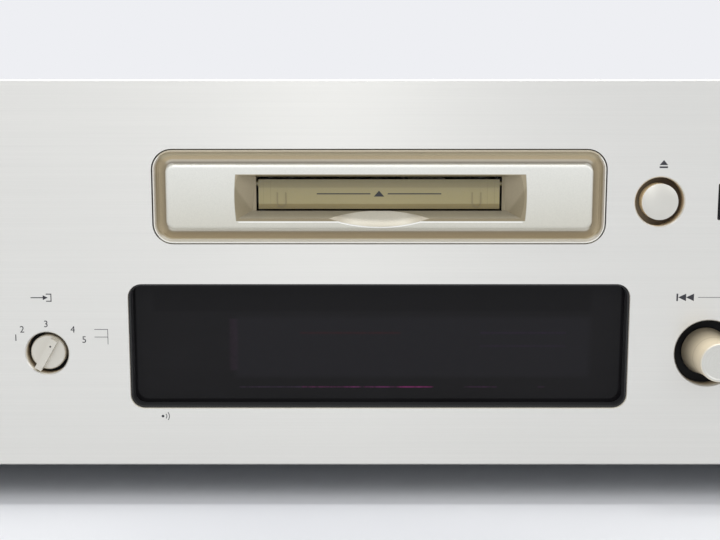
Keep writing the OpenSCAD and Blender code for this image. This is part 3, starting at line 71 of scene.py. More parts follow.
class Graph:
    """A material's node tree, built up one socket at a time."""

    def __init__(self, name):
        self.material = bpy.data.materials.new(name)
        self.material.use_nodes = True
        self.tree = self.material.node_tree
        self.tree.nodes.clear()
        self.shader = self.tree.nodes.new("ShaderNodeBsdfPrincipled")
        out = self.tree.nodes.new("ShaderNodeOutputMaterial")
        self.tree.links.new(self.shader.outputs[0], out.inputs["Surface"])
        self.place = self.add("TexCoord", out="Object")
        self._axes = None

    def feed(self, socket, value):
        """Links a socket or sets a constant; None leaves the input as it is."""
        if isinstance(value, bpy.types.NodeSocket):
            self.tree.links.new(value, socket)
        elif value is not None:
            socket.default_value = value

    def add(self, kind, ins=(), out=0, **props):
        """A new shader node of a kind, fed by input name or number; returns one output."""
        node = self.tree.nodes.new("ShaderNode" + kind)
        for key, value in props.items():
            setattr(node, key, value)
        for key, value in dict(ins).items():
            self.feed(node.inputs[key], value)
        return node.outputs[out]

    def axis(self, i):
        """The X, Y or Z of a point in the part's own frame, in millimetres."""
        if self._axes is None:
            mm = self.toned(self.place, 1 / MM)
            node = self.tree.nodes.new("ShaderNodeSeparateXYZ")
            self.feed(node.inputs[0], mm)
            self._axes = node.outputs
        return self._axes[i]

    def maths(self, kind, a, b=None, c=None, clamp=False):
        return self.add("Math", {0: a, 1: b, 2: c}, operation=kind, use_clamp=clamp)

    def plus(self, a, b):
        return self.maths("ADD", a, b)

    def minus(self, a, b):
        return self.maths("SUBTRACT", a, b)

    def times(self, a, b, clamp=False):
        return self.maths("MULTIPLY", a, b, clamp=clamp)

    def size(self, value):
        """The value without its sign."""
        return self.maths("ABSOLUTE", value)

    def inverse(self, value):
        """1 where value is 0, and 0 where it is 1."""
        return self.minus(1.0, value)

    def toned(self, colour, value):
        """The colour made lighter or darker by value."""
        if isinstance(colour, tuple):
            colour = colour[:3]
        return self.add("VectorMath", {0: colour, 3: value}, operation="SCALE")

    def fit(self, value, low, high):
        """0 to 1 spread over low to high."""
        return self.maths("MULTIPLY_ADD", value, high - low, low)

    def band(self, value, low, high, soft=0.05):
        """1 between low and high, with soft edges."""
        up = self.rise(value, low - soft, low + soft)
        down = self.add(
            "MapRange", {0: value, 1: high - soft, 2: high + soft, 3: 1.0, 4: 0.0},
            interpolation_type="SMOOTHSTEP",
        )
        return self.times(up, down)

    def scaled(self, scale):
        """Coordinates in scale units a metre, one number for all axes or one for each."""
        if not isinstance(scale, tuple):
            scale = (scale,) * 3
        return self.add("Mapping", {"Vector": self.place, "Scale": scale})

    def noise(self, scale, detail=2.0, rough=0.5, warp=0.0):
        """Noise with scale features a metre along each axis."""
        return self.add(
            "TexNoise",
            {
                "Vector": self.scaled(scale), "Scale": 1.0, "Detail": detail,
                "Roughness": rough, "Distortion": warp,
            },
        )

    def cells(self, scale, out="Distance"):
        """Scattered cells, scale of them a metre: distance to a middle, or a colour each."""
        return self.add("TexVoronoi", {"Vector": self.scaled(scale), "Scale": 1.0}, out=out)

    def ramp(self, value, *stops):
        """A colour from stops, each a place from 0 to 1 and an 8-bit colour."""
        node = self.tree.nodes.new("ShaderNodeValToRGB")
        self.feed(node.inputs[0], value)
        parts = node.color_ramp.elements
        while len(parts) < len(stops):
            parts.new(0.5)
        for part, (at, colour) in zip(parts, stops):
            part.position = at
            part.color = linear(*colour)
        return node.outputs[0]

    def mix(self, factor, a, b):
        """Colour a where factor is 0 and b where it is 1."""
        return self.add("Mix", {0: factor, 6: a, 7: b}, out=2, data_type="RGBA")

    def radius(self, centre, across=(0, 2)):
        """Distance in millimetres from an axis through centre."""
        legs = [
            self.maths("POWER", self.minus(self.axis(i), c), 2.0)
            for i, c in zip(across, centre)
        ]
        return self.maths("SQRT", self.plus(*legs))

    def facing(self, i):
        """One part of the surface's normal: 0 for X, 1 for Y, 2 for Z."""
        node = self.tree.nodes.new("ShaderNodeSeparateXYZ")
        self.feed(node.inputs[0], self.add("NewGeometry", out="Normal"))
        return node.outputs[i]

    def rise(self, value, low, high):
        """0 below low and 1 above high, with a smooth step between."""
        return self.add(
            "MapRange", {0: value, 1: low, 2: high}, interpolation_type="SMOOTHSTEP"
        )

    def bump(self, height, depth):
        """A normal with height, from 0 to 1, worth depth in metres."""
        return self.add("Bump", {"Height": height, "Distance": depth})

    def done(self, colour, rough, normal, metallic=0.0, **more):
        """The finished material; more names other shader sockets, with _ for a space."""
        s = self.shader.inputs
        self.feed(s["Base Color"], colour)
        self.feed(s["Roughness"], rough)
        self.feed(s["Normal"], normal)
        self.feed(s["Metallic"], metallic)
        for key, value in more.items():
            self.feed(s[key.replace("_", " ")], value)
        return self.material


METAL = 0.85  # how metallic bare metal is, next to paint's 0


def brushed(name, colour, along, spread=0.05, rough=(0.32, 0.44)):
    """Metal with long fine lines of brushing, along of them a metre on each axis."""
    g = Graph(name)
    fine = g.noise(along, 3.0, 0.65)
    short = g.noise(tuple(v * 2.3 for v in along), 1.0)
    lines = g.mix(0.4, fine, short)
    wide = g.noise(9)
    tone = g.plus(g.fit(lines, -spread, spread), g.fit(wide, -0.015, 0.015))
    base = g.toned(linear(*colour), g.plus(tone, 1.0))
    return g.done(base, g.fit(lines, *rough), g.bump(lines, 4e-6), METAL)


def turned(name, colour, centre, across=(0, 2), pitch=9.0, spread=0.05,
           rough=(0.24, 0.36), metallic=METAL, flank=None, painted_root_shade=0.66):
    """Metal turned or spun about an axis: fine rings round it, pitch of them a millimetre.

    A flank colour tints the side, with painted light and shade: a little lighter in front and
    darker at its root, by the given gain.
    """
    g = Graph(name)
    rings = g.add(
        "TexNoise",
        {"W": g.times(g.radius(centre, across), pitch), "Scale": 1.0, "Detail": 3.0},
        noise_dimensions="1D",
    )
    wide = g.noise(160)
    value = g.plus(g.fit(rings, 1 - spread, 1 + spread), g.fit(wide, -0.02, 0.02))
    tint = linear(*colour)
    if flank:
        end = g.rise(g.size(g.facing(1)), 0.55, 0.85)
        # Painted light and shade on the side: lighter near the front, darker down at its root
        # in the hole
        deep = g.rise(g.axis(1), *FLANK_PAINTED_SHADE_DEPTH)
        side = g.mix(deep, linear(*shade(flank, 1.18)), linear(*shade(flank, painted_root_shade)))
        tint = g.mix(end, side, tint)
        metallic = g.fit(end, 0.15, metallic)
    return g.done(g.toned(tint, value), g.fit(rings, *rough), g.bump(rings, 4e-6), metallic)


def moulded(name, colour, rough=(0.4, 0.55), grain=2600, depth=8e-6, spread=0.06,
            metallic=0.0, flake=0.0, **more):
    """Moulded or painted surface: eroded grain, slow mottling and, by flake, flakes."""
    g = Graph(name)
    fine = g.noise(grain, 2.0, 0.6)
    slow = g.noise(38, 3.0, 0.55)
    value = g.plus(g.fit(slow, 1 - spread, 1 + spread), g.fit(fine, -spread / 2, spread / 2))
    if flake:
        value = g.plus(value, g.fit(g.cells(4200, out="Color"), -flake, flake))
    base = g.toned(linear(*colour), value)
    return g.done(base, g.fit(fine, *rough), g.bump(fine, depth), metallic, **more)


def plated(name, colour, other, rough=(0.26, 0.42), scale=55, roll=(300, 300, 300)):
    """Zinc or nickel plate: clouds of two tones, rolling lines and a few dull specks."""
    g = Graph(name)
    clouds = g.noise(scale, 4.0, 0.6, 0.4)
    lines = g.noise(roll, 2.0, 0.6)
    specks = g.band(g.cells(700), 0.0, 0.16, 0.05)
    base = g.ramp(clouds, (0.3, colour), (0.7, other))
    base = g.mix(g.times(specks, 0.25), base, linear(*shade(colour, 0.72)))
    rough_mix = g.plus(g.fit(clouds, *rough), g.fit(lines, -0.05, 0.05))
    return g.done(base, rough_mix, g.bump(lines, 3e-6), 0.95)


def front_panel_metal():
    """Anodised panel: long horizontal brushing, and painted shade on the walls of its holes,
    pale at the mouth and dark brown deep in.
    """
    g = Graph("panel_brushed")
    long_lines = g.noise((4, 120, 1500), 4.0, 0.72)
    fine = g.noise((22, 300, 5200), 2.0, 0.5)
    lines = g.mix(0.45, long_lines, fine)
    wide = g.noise((5, 5, 11), 2.0, 0.4)
    tone = g.plus(g.fit(lines, -0.075, 0.075), g.fit(wide, -0.012, 0.012))
    # Painted shade in the holes: the walls run from pale at the mouth to dark brown at the
    # back
    wall = g.ramp(
        g.times(g.minus(g.axis(1), PANEL_Y), 1 / PANEL_THICK),
        (0.08, (250, 245, 230)), (0.55, (204, 184, 154)), (1.0, (92, 80, 64)),
    )
    flat = g.rise(g.size(g.facing(1)), 0.35, 0.6)
    half_w, bottom, top = 212, 18, 128  # the panel without its outer edges
    inner = g.times(g.band(g.axis(0), -half_w, half_w, 1), g.band(g.axis(2), bottom, top, 1))
    walls = g.times(g.inverse(flat), inner)
    base = g.toned(g.mix(walls, linear(219, 218, 213), wall), g.plus(tone, 1.0))
    return g.done(base, g.fit(lines, 0.3, 0.44), g.bump(lines, 6e-6), g.fit(walls, 0.8, 0.05),
                  Anisotropic=0.7, Anisotropic_Rotation=0.25)


def groove_tones(g, x, z):
    """The surround's groove and plateau edge, by distance inward from its rounded outline,
    with painted light and shade: painted highlights and dark lines along its edges, and
    painted brown shade down in the groove; the top, bottom and sides differ as the light falls
    on them.
    """
    half_w, half_h, corner, unit = 68.4, 14.15, 6.0, 5.0
    over_x = g.minus(x, half_w - corner)
    over_z = g.minus(g.size(z), half_h - corner)
    legs = [g.maths("POWER", g.maths("MAXIMUM", v, 0.0), 2.0) for v in (over_x, over_z)]
    inside = g.maths("MINIMUM", g.maths("MAXIMUM", over_x, over_z), 0.0)
    out = g.plus(g.maths("SQRT", g.plus(*legs)), inside)
    inward = g.maths("MULTIPLY_ADD", out, -1 / unit, corner / unit)
    # Painted light and shade across the groove, from the outline inward, one ramp each for the
    # top, the sides and the bottom
    upper = g.ramp(
        inward, (0.03, (150, 141, 124)), (0.08, (190, 180, 157)), (0.28, (192, 181, 154)),
        (0.42, (184, 167, 134)), (0.56, (182, 166, 135)), (0.62, (192, 184, 166)),
        (0.7, (186, 178, 162)), (0.75, (144, 137, 124)), (0.81, (148, 142, 130)),
        (0.87, (218, 217, 210)),
    )
    flank = g.ramp(
        inward, (0.03, (72, 68, 62)), (0.07, (238, 235, 226)), (0.13, (230, 224, 211)),
        (0.19, (172, 158, 130)), (0.46, (160, 145, 116)), (0.68, (142, 129, 103)),
        (0.75, (134, 123, 100)), (0.83, (196, 190, 178)), (0.9, (212, 211, 203)),
    )
    lower = g.ramp(
        inward, (0.03, (206, 202, 192)), (0.08, (238, 236, 228)), (0.19, (226, 221, 208)),
        (0.25, (184, 171, 144)), (0.31, (140, 124, 93)), (0.6, (142, 126, 96)),
        (0.67, (140, 128, 104)), (0.74, (196, 190, 175)), (0.82, (212, 209, 198)),
    )
    sideways = g.minus(g.minus(x, half_w), g.minus(g.size(z), half_h))
    ends = g.mix(g.rise(z, -1.0, 1.0), lower, upper)
    return g.mix(g.rise(sideways, -1.2, 1.2), ends, flank), inward


def recess_tones(g, x, z, plateau):
    """The plateau with the recess in it, with painted light and shade: brown shade on the
    creased side walls, a lighter up-facing floor and scoop, and a painted highlight along the
    rolled front edge.
    """
    middle, half_w, bow_rate = 0.4, 43.9, 0.008  # the recess's ends bow outward
    floor_z, scoop_z, scoop_rate = -7.3, -8.95, 1 / 94.1  # the scoop cuts through the floor
    roof_z = 6.75
    crease_x, crease_slope = 42.0, 0.62  # each end wall's slanted crease, where its painted shade changes tone
    tunnel_x = 37.4  # where the end walls meet the tunnel
    # Painted shade: the recess walls are brown, in two tones either side of each end wall's
    # crease
    wall_painted_shade = linear(140, 129, 103)
    across = g.size(g.minus(g.axis(0), middle))
    bow = g.maths("MULTIPLY_ADD", g.maths("POWER", z, 2.0), bow_rate, across)
    floor_edge = g.maths("MULTIPLY_ADD", g.maths("POWER", x, 2.0), scoop_rate, scoop_z)
    floor_edge = g.maths("MINIMUM", floor_edge, floor_z)
    in_recess = g.times(
        g.inverse(g.rise(bow, half_w, half_w + 0.3)),
        g.times(g.rise(g.minus(z, floor_edge), -0.05, 0.1),
                g.inverse(g.rise(z, roof_z, roof_z + 0.2))),
    )
    crease = g.maths("MULTIPLY_ADD", z, crease_slope, g.minus(crease_x, across))
    outer_wall = g.mix(g.rise(crease, -0.5, 0.5), wall_painted_shade, linear(153, 142, 117))
    inside = g.mix(g.rise(across, tunnel_x, tunnel_x + 0.8), wall_painted_shade, outer_wall)
    up = g.facing(2)
    # Painted light: faces turned up, such as the floor, are lighter
    inside = g.mix(g.rise(up, 0.3, 0.6), inside, linear(156, 149, 131))
    scoop = g.times(g.rise(g.times(g.facing(1), -1.0), 0.5, 0.62), g.rise(up, 0.4, 0.6))
    # Painted light and shade in the scoop: lighter high up, darker low down and towards its
    # ends
    scoop_tone = g.mix(g.rise(z, -9.6, -7.6), linear(172, 165, 148), linear(198, 193, 178))
    scoop_ends = g.mix(g.rise(x, 7.0, 13.0), scoop_tone, linear(164, 156, 138))
    inside = g.mix(scoop, inside, scoop_ends)
    base = g.mix(in_recess, plateau, inside)
    # A painted highlight along the floor's front edge
    below = g.minus(floor_edge, z)
    shine = g.times(g.band(below, 0.1, 0.4, 0.1), g.band(bow, -1, half_w - 0.5, 0.4))
    return g.mix(shine, base, linear(244, 243, 238))


def surround_paint():
    """Champagne metallic paint on the loader's moulding, with painted shade, warmer and
    darker, in its groove and recess, and painted light on its face, lighter towards the top.
    """
    g = Graph("loader_champagne")
    fine = g.noise(2400, 2.0, 0.6)
    flakes = g.cells(5200, out="Color")
    slow = g.noise(30)
    x = g.size(g.axis(0))
    z = g.minus(g.axis(2), LOADER_Z)
    span = 30.0  # a little more than the moulding's height
    # Painted light on the plateau: lighter towards the top, darker towards the bottom
    face = g.ramp(
        g.maths("MULTIPLY_ADD", z, 1 / span, 0.5),
        (0.1, (197, 194, 181)), (0.5, (210, 209, 200)), (0.95, (223, 223, 217)),
    )
    groove, inward = groove_tones(g, x, z)
    base = recess_tones(g, x, z, g.mix(g.rise(inward, 0.8, 0.92), groove, face))
    grain = g.plus(g.fit(flakes, -0.05, 0.05), g.fit(fine, -0.03, 0.03))
    base = g.toned(base, g.plus(g.fit(slow, 0.98, 1.02), grain))
    tunnel = g.rise(g.minus(g.axis(1), PANEL_Y), 3.4, 4.2)
    base = g.mix(tunnel, base, linear(92, 84, 66))
    return g.done(base, g.fit(fine, 0.36, 0.5), g.bump(fine, 5e-6), 0.35, Coat_Weight=0.12,
                  Coat_Roughness=0.25)


def flap_tint():
    """Tinted olive-gold moulding, a little translucent, with painted light and shade across
    it: darker at the top, in the shadow of the top edge, and at the foot, lighter between.
    """
    g = Graph("flap_tinted")
    foot_z, flap_h = 93.5, 9.0
    height = g.maths("MULTIPLY_ADD", g.axis(2), 1 / flap_h, -foot_z / flap_h)
    streak = g.noise((60, 60, 420), 3.0, 0.5, 0.6)
    # Painted shade and light by height: darker at the foot and at the top, lighter in the
    # middle
    painted_shade_bands = g.ramp(
        g.plus(height, g.fit(streak, -0.012, 0.012)),
        (0.0, (116, 102, 58)), (0.15, (127, 112, 66)), (0.19, (152, 141, 98)),
        (0.69, (149, 139, 100)), (0.75, (136, 126, 90)), (1.0, (128, 118, 84)),
    )
    x = g.size(g.axis(0))
    seam = g.band(g.maths("PINGPONG", x, 1.1), 0.0, 0.1, 0.1)
    seams = g.times(seam, g.band(x, 31, 36, 0.5))
    painted_shade_bands = g.mix(g.times(seams, 0.3), painted_shade_bands, linear(112, 100, 70))
    proud = g.times(g.minus(g.axis(1), FLAP_Y), -1.0)
    ribs = g.rise(proud, 0.02, 0.08)
    painted_shade_bands = g.mix(g.times(ribs, 0.4), painted_shade_bands, linear(108, 96, 66))
    fine = g.noise(1900)
    base = g.toned(painted_shade_bands, g.fit(fine, 0.97, 1.03))
    return g.done(base, g.fit(streak, 0.16, 0.26), g.bump(fine, 2e-6), Coat_Weight=0.3,
                  Coat_Roughness=0.12, Subsurface_Weight=0.15,
                  Subsurface_Radius=(0.002, 0.0016, 0.0008))


def frame_moulding():
    """Black sub-frame behind the panel, with painted light round the eject button: a brown
    ring there, lighter on its left and darker on its right.
    """
    g = Graph("frame_black")
    fine = g.noise(1500, 2.0, 0.6)
    slow = g.noise(38, 3.0, 0.55)
    # Painted light and shade round the eject button: brown, lighter on the left and darker on
    # the right
    well = g.inverse(g.rise(g.radius(EJECT), 8.6, 9.0))
    eject_ring_painted_light = g.mix(g.rise(g.axis(0), EJECT[0] - 6.0, EJECT[0] + 3.0),
                   linear(140, 128, 109), linear(86, 72, 58))
    base = g.mix(well, linear(15, 15, 16), eject_ring_painted_light)
    base = g.toned(base, g.plus(g.fit(slow, 0.94, 1.06), g.fit(fine, -0.03, 0.03)))
    return g.done(base, g.fit(fine, 0.5, 0.65), g.bump(fine, 2e-5), Specular_IOR_Level=0.2)


def smoked_window():
    """Polished smoked acrylic; the display behind it shows faint rows and a violet line."""
    g = Graph("window_smoked")
    x, z = g.axis(0), g.axis(2)
    haze = g.noise((26, 26, 60), 3.0, 0.6, 0.5)
    base = g.ramp(haze, (0.25, (18, 17, 18)), (0.75, (22, 21, 23)))
    field = g.times(g.band(x, -44.7, 65.9, 1.4), g.band(z, 40.4, 59.5, 1.0))
    base = g.mix(field, base, linear(26, 25, 28))
    upper = g.times(g.band(x, -70, 66, 1), g.band(z, 61.4, 68.5, 0.5))
    base = g.mix(g.times(upper, 0.5), base, linear(8, 7, 9))
    spots = g.fit(g.noise((300, 20, 20), 3.0, 0.7), -0.6, 1.7)
    grain = g.fit(g.noise((700, 60, 900)), 0.2, 1.4)
    top_row, next_row, violet = (54.2, 54.8), (50.0, 50.6), (37.0, 37.4)
    # Left, right, low and high edges, colour and strength of each faint mark
    for left, right, (low, high), colour, share in (
        (-24.5, 6.7, top_row, (48, 20, 24), 0.6),
        (31.6, 58.4, top_row, (40, 27, 48), 0.45),
        (31.6, 58.4, next_row, (40, 27, 48), 0.4),
        (-46.4, -43.9, (42.6, 59.0), (44, 32, 43), 0.45),
        (-43.5, -24.0, violet, (66, 50, 72), 0.6),
        (-24.0, 6.0, violet, (104, 42, 90), 0.75),
        (6.0, 17.0, violet, (132, 40, 104), 0.9),
        (27.0, 37.0, violet, (72, 40, 72), 0.5),
        (50.0, 52.0, violet, (72, 40, 72), 0.4),
    ):
        shape = g.times(g.band(x, left, right, 0.5), g.band(z, low, high, 0.14))
        broken = spots if (low, high) == violet else grain
        glow = g.times(g.times(shape, broken), share, clamp=True)
        base = g.mix(glow, base, linear(*colour))
    dust = g.noise(900)
    return g.done(base, g.fit(dust, 0.05, 0.12), g.bump(dust, 4e-7), Specular_IOR_Level=0.14)


def circuit(name, mask, copper):
    """Solder-masked board: tracks in two directions under the mask, and tinned pads."""
    half_pitch, track_w, run_rate = 0.9, 0.3, 0.031
    g = Graph(name)
    x, y = g.axis(0), g.axis(1)
    steps = g.times(g.maths("SNAP", g.noise(34, 1.0), 0.08), 40.0)
    lanes = []
    for a, b, shift in ((x, y, 0.0), (y, x, 3.1)):
        lane = g.maths("PINGPONG", g.plus(a, steps), half_pitch)
        along = g.maths("FRACT", g.maths("MULTIPLY_ADD", b, run_rate, shift))
        lanes.append(g.times(g.band(lane, 0.0, track_w, 0.06), g.band(along, 0.1, 0.62, 0.01)))
    track = g.maths("MAXIMUM", *lanes)
    tone = g.noise(60, 3.0)
    base = g.ramp(tone, (0.3, mask), (0.7, shade(mask, 1.14)))
    base = g.mix(g.times(track, 0.8), base, linear(*copper))
    pads = g.band(g.cells((390, 390, 1)), 0.0, 0.17, 0.02)
    pads = g.times(pads, g.band(g.noise(120, 1.0), 0.5, 2.0, 0.01))
    base = g.mix(pads, base, linear(188, 190, 188))
    height = g.maths("MAXIMUM", track, pads)
    return g.done(base, g.fit(tone, 0.3, 0.42), g.bump(height, 3e-5), Coat_Weight=0.25,
                  Coat_Roughness=0.2)


def can_sleeve():
    """Printed shrink sleeves with a pale stripe down one side, and bare scored tops."""
    g = Graph("capacitor_sleeve")
    top = g.band(g.facing(2), 0.8, 2.0, 0.05)
    stripe = g.band(g.facing(0), 0.86, 2.0, 0.02)
    tone = g.noise(220, 3.0)
    base = g.ramp(tone, (0.3, (22, 28, 58)), (0.7, (28, 36, 72)))
    base = g.mix(g.times(stripe, 0.85), base, linear(150, 160, 176))
    diagonal = g.plus(g.axis(0), g.axis(1))
    score = g.band(g.maths("PINGPONG", diagonal, 2.0), 0.0, 0.12, 0.05)
    metal = g.mix(g.times(score, 0.5), linear(186, 188, 190), linear(110, 112, 116))
    base = g.mix(top, base, metal)
    fine = g.noise(1200)
    return g.done(base, g.fit(tone, 0.24, 0.36), g.bump(fine, 3e-6), Coat_Weight=0.2)


def winding_tape():
    """Polyester tape in overlapping turns."""
    g = Graph("winding_tape")
    tape_w = 5.4
    lap = g.maths("FRACT", g.times(g.axis(2), 1 / tape_w))
    edge = g.band(lap, 0.0, 0.07, 0.03)
    tone = g.noise(130, 3.0)
    base = g.ramp(tone, (0.3, (196, 150, 52)), (0.7, (216, 172, 72)))
    base = g.mix(g.times(edge, 0.6), base, linear(146, 104, 34))
    return g.done(base, g.fit(tone, 0.24, 0.36), g.bump(lap, 6e-5), Coat_Weight=0.3)


def laminated():
    """Varnished stack of core laminations with stacking lines."""
    g = Graph("core_laminations")
    stack = g.maths("PINGPONG", g.axis(1), 0.25)
    edge = g.band(stack, 0.0, 0.05, 0.04)
    tone = g.noise(90, 4.0, 0.6)
    base = g.ramp(tone, (0.3, (52, 54, 60)), (0.7, (84, 84, 88)))
    base = g.mix(g.times(edge, 0.6), base, linear(28, 28, 32))
    return g.done(base, g.fit(tone, 0.3, 0.5), g.bump(stack, 2e-5), 0.5)


def gold_jacks():
    """Gilt shells round insulators of two colours, set in a black block."""
    g = Graph("phono_gilt")
    radii = [g.radius((x, row)) for x in PHONO_XS for row in PHONO_ROWS]
    r = radii[0]
    for other in radii[1:]:
        r = g.maths("MINIMUM", r, other)
    block = g.band(g.axis(1), 0.0, REAR_Y - 1.4, 0.1)
    tone = g.noise(260, 3.0)
    gilt = g.ramp(tone, (0.3, (206, 170, 92)), (0.7, (224, 192, 118)))
    shell_r = 3.5
    upper = g.band(g.axis(2), sum(PHONO_ROWS) / 2 - 0.2, 99.0, 0.1)
    insulator = g.mix(upper, linear(172, 30, 34), linear(226, 226, 222))
    base = g.mix(g.band(r, 0.0, shell_r, 0.1), gilt, insulator)
    base = g.mix(block, base, linear(24, 24, 26))
    return g.done(base, g.fit(tone, 0.2, 0.34), g.bump(tone, 4e-6), 0.3)


def ribbon_film():
    """Flat cable: pale film with its conductors showing as fine darker lines."""
    g = Graph("ribbon_film")
    wire = g.band(g.maths("PINGPONG", g.axis(0), 0.5), 0.3, 0.6, 0.05)
    tone = g.noise(80, 3.0)
    base = g.ramp(tone, (0.3, (214, 216, 218)), (0.7, (226, 227, 226)))
    base = g.mix(g.times(wire, 0.5), base, linear(168, 172, 178))
    return g.done(base, g.fit(tone, 0.25, 0.36), g.bump(wire, 3e-5), Coat_Weight=0.2)


def chips():
    """Board parts: epoxy packages with tinned leads, pale sockets and sleeved cans."""
    g = Graph("board_components")
    x, y, z = (g.axis(i) for i in range(3))
    tone = g.noise(300, 3.0)
    base = g.ramp(tone, (0.3, (26, 27, 30)), (0.7, (36, 37, 40)))
    lead = g.band(g.maths("PINGPONG", x, 0.4), 0.0, 0.16, 0.04)
    leads = g.times(g.band(z, 25.2, 26.1, 0.05), lead)
    base = g.mix(leads, base, linear(190, 192, 194))
    cable_sockets = g.band(y, 28.5, 34.5, 0.1)
    base = g.mix(cable_sockets, base, linear(216, 214, 204))
    cans = g.times(g.band(y, 80.0, 102.0, 0.1), g.band(z, 30.4, 35.7, 0.05))
    base = g.mix(cans, base, linear(26, 34, 74))
    return g.done(base, g.fit(tone, 0.34, 0.5), g.bump(tone, 6e-6))


# 8-bit colours and finishes that several nodes share
CHAMPAGNE = (210, 208, 200)
GOLDEN = (196, 184, 161)
CREAM = (255, 234, 194)
SATIN = (0.3, 0.42)
CAN_STEEL = ((184, 186, 190), (200, 201, 203), (0.18, 0.3))
MASKS = {  # each board's solder mask, and the copper under it
    "power_board": ((176, 140, 84), (196, 164, 108)),
    "key_board": ((30, 74, 40), (50, 104, 60)),
    "display_board": ((28, 70, 40), (48, 100, 60)),
    "main_board": ((26, 72, 42), (46, 102, 62)),
}
materials = {
    "front_panel": front_panel_metal(),
    "loader_surround": surround_paint(),
    "loader_flap": flap_tint(),
    "display_window": smoked_window(),
    "window_bezel": moulded("bezel_black", (48, 48, 49), (0.3, 0.42), 3000, 4e-6,
                            Specular_IOR_Level=0.2),
    "front_frame": frame_moulding(),
    "key_frame": moulded("key_frame_black", (16, 16, 18), (0.42, 0.55), 2600, 8e-6,
                         Specular_IOR_Level=0.25),
    "eject_button": turned("eject_satin", CHAMPAGNE, EJECT, spread=0.04, rough=SATIN,
                           flank=CREAM, painted_root_shade=1.0),
    "power_button": turned("power_satin", CHAMPAGNE, POWER, spread=0.04, rough=SATIN,
                           flank=CREAM, painted_root_shade=1.0),
    "input_dial": turned("dial_satin", (210, 206, 195), DIAL, rough=(0.28, 0.4),
                         flank=(255, 250, 236), painted_root_shade=0.8),
    "jog_knob": turned("jog_spun", (208, 207, 200), JOG, flank=(204, 191, 166)),
    "level_knob_outer": turned("level_outer_spun", CHAMPAGNE, LEVEL, flank=GOLDEN),
    "level_knob_inner": turned("level_inner_spun", (218, 216, 208), LEVEL, pitch=12.0,
                               flank=GOLDEN),
    "phones_knob": turned("phones_spun", CHAMPAGNE, PHONES, pitch=11.0, flank=GOLDEN),
    "phones_jack": moulded("socket_black", (28, 28, 30), (0.28, 0.4), 2200, 5e-6),
    "remote_sensor": moulded("sensor_dome", (30, 22, 34), (0.12, 0.2), 900, 2e-6,
                             Coat_Weight=0.5),
    "jog_shaft": turned("shaft_steel", (176, 177, 180), JOG, pitch=16.0, rough=(0.2, 0.3)),
    "rotary_controls": plated("control_nickel", (172, 173, 176), (188, 188, 190)),
    "power_switch": moulded("switch_black", (34, 34, 37), (0.4, 0.55), 1800, 1e-5),
    "bottom_pan": plated("pan_zinc", (168, 172, 176), (190, 192, 193), roll=(120, 720, 720)),
    "rear_panel": plated("rear_zinc", (188, 189, 188), (194, 194, 192), roll=(120, 720, 720)),
    "top_cover": moulded("cover_powder", (203, 200, 190), (0.46, 0.6), 1150, 2.4e-5,
                         spread=0.03, metallic=0.35, flake=0.03),
    "screws": plated("screw_passivated", (196, 176, 120), (206, 190, 146), scale=400),
    "feet": moulded("foot_black", (38, 38, 40), (0.5, 0.65), 1500, 2e-5),
    "foot_pads": moulded("pad_rubber", (26, 26, 27), (0.75, 0.9), 900, 4e-5),
    "phono_jacks": gold_jacks(),
    "optical_sockets": moulded("optical_black", (30, 30, 33), (0.4, 0.52), 2200, 8e-6),
    "mains_inlet": moulded("inlet_black", (28, 28, 30), (0.42, 0.55), 2000, 1e-5),
    "transformer_core": laminated(),
    "transformer_winding": winding_tape(),
    "power_capacitors": can_sleeve(),
    "board_parts": chips(),
    "flat_cables": ribbon_film(),
    "heat_sink": brushed("sink_extruded", (190, 192, 195), (300, 300, 8), 0.06),
    "mech_brackets": plated("bracket_zinc", (172, 175, 178), (190, 191, 192)),
    "mech_dampers": moulded("damper_rubber", (34, 33, 36), (0.7, 0.85), 900, 3e-5),
    "mech_base": plated("base_zinc", (178, 180, 183), (194, 195, 196), roll=(180, 720, 720)),
    "cartridge_holder": plated("holder_bright", (186, 188, 190), (202, 203, 203), scale=40,
                               roll=(180, 840, 840)),
    "pull_carriage": moulded("carriage_acetal", (222, 216, 196), (0.35, 0.48), 1200, 6e-6),
    "cam_plates": plated("cam_bright", (180, 183, 188), (198, 200, 202), roll=(840, 180, 840)),
    "loading_motor": plated("loading_can", *CAN_STEEL),
    "spindle_motor": plated("spindle_can", *CAN_STEEL),
    "sled_motor": plated("sled_can", *CAN_STEEL),
    "motor_pinion": moulded("pinion_acetal", (222, 216, 198), (0.32, 0.45), 1400, 5e-6),
    "loading_gear": moulded("gear_acetal", (226, 221, 204), (0.32, 0.45), 1400, 5e-6),
    "turntable": turned("turntable_black", (62, 62, 66), SPINDLE, across=(0, 1),
                        metallic=0.2),
    "pickup_sled": moulded("sled_filled", (52, 54, 57), (0.45, 0.6), 1600, 1.2e-5, 0.12),
    "guide_rods": brushed("rod_ground", (205, 206, 208), (5, 2200, 2200), 0.03, (0.14, 0.24)),
    "lead_screw": brushed("screw_rolled", (196, 197, 200), (900, 60, 60), rough=(0.2, 0.32)),
    "head_arm": plated("arm_plated", (188, 170, 122), (202, 186, 142), scale=150),
    "flap_spring": plated("spring_wire", (186, 187, 190), (202, 203, 204), scale=300),
    "display_tube": moulded("tube_glass", (58, 66, 66), (0.06, 0.14), 700, 2e-6,
                            Coat_Weight=0.6),
}
for key in ("key_play", "key_pause", "key_stop", "key_record"):
    materials[key] = brushed(key + "_satin", CHAMPAGNE, (30, 300, 3000), rough=SATIN)
for board, (mask, copper) in MASKS.items():
    materials[board] = circuit(board + "_mask", mask, copper)
for node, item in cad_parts.items():
    for held in item.material_slots:
        held.material = materials[node]


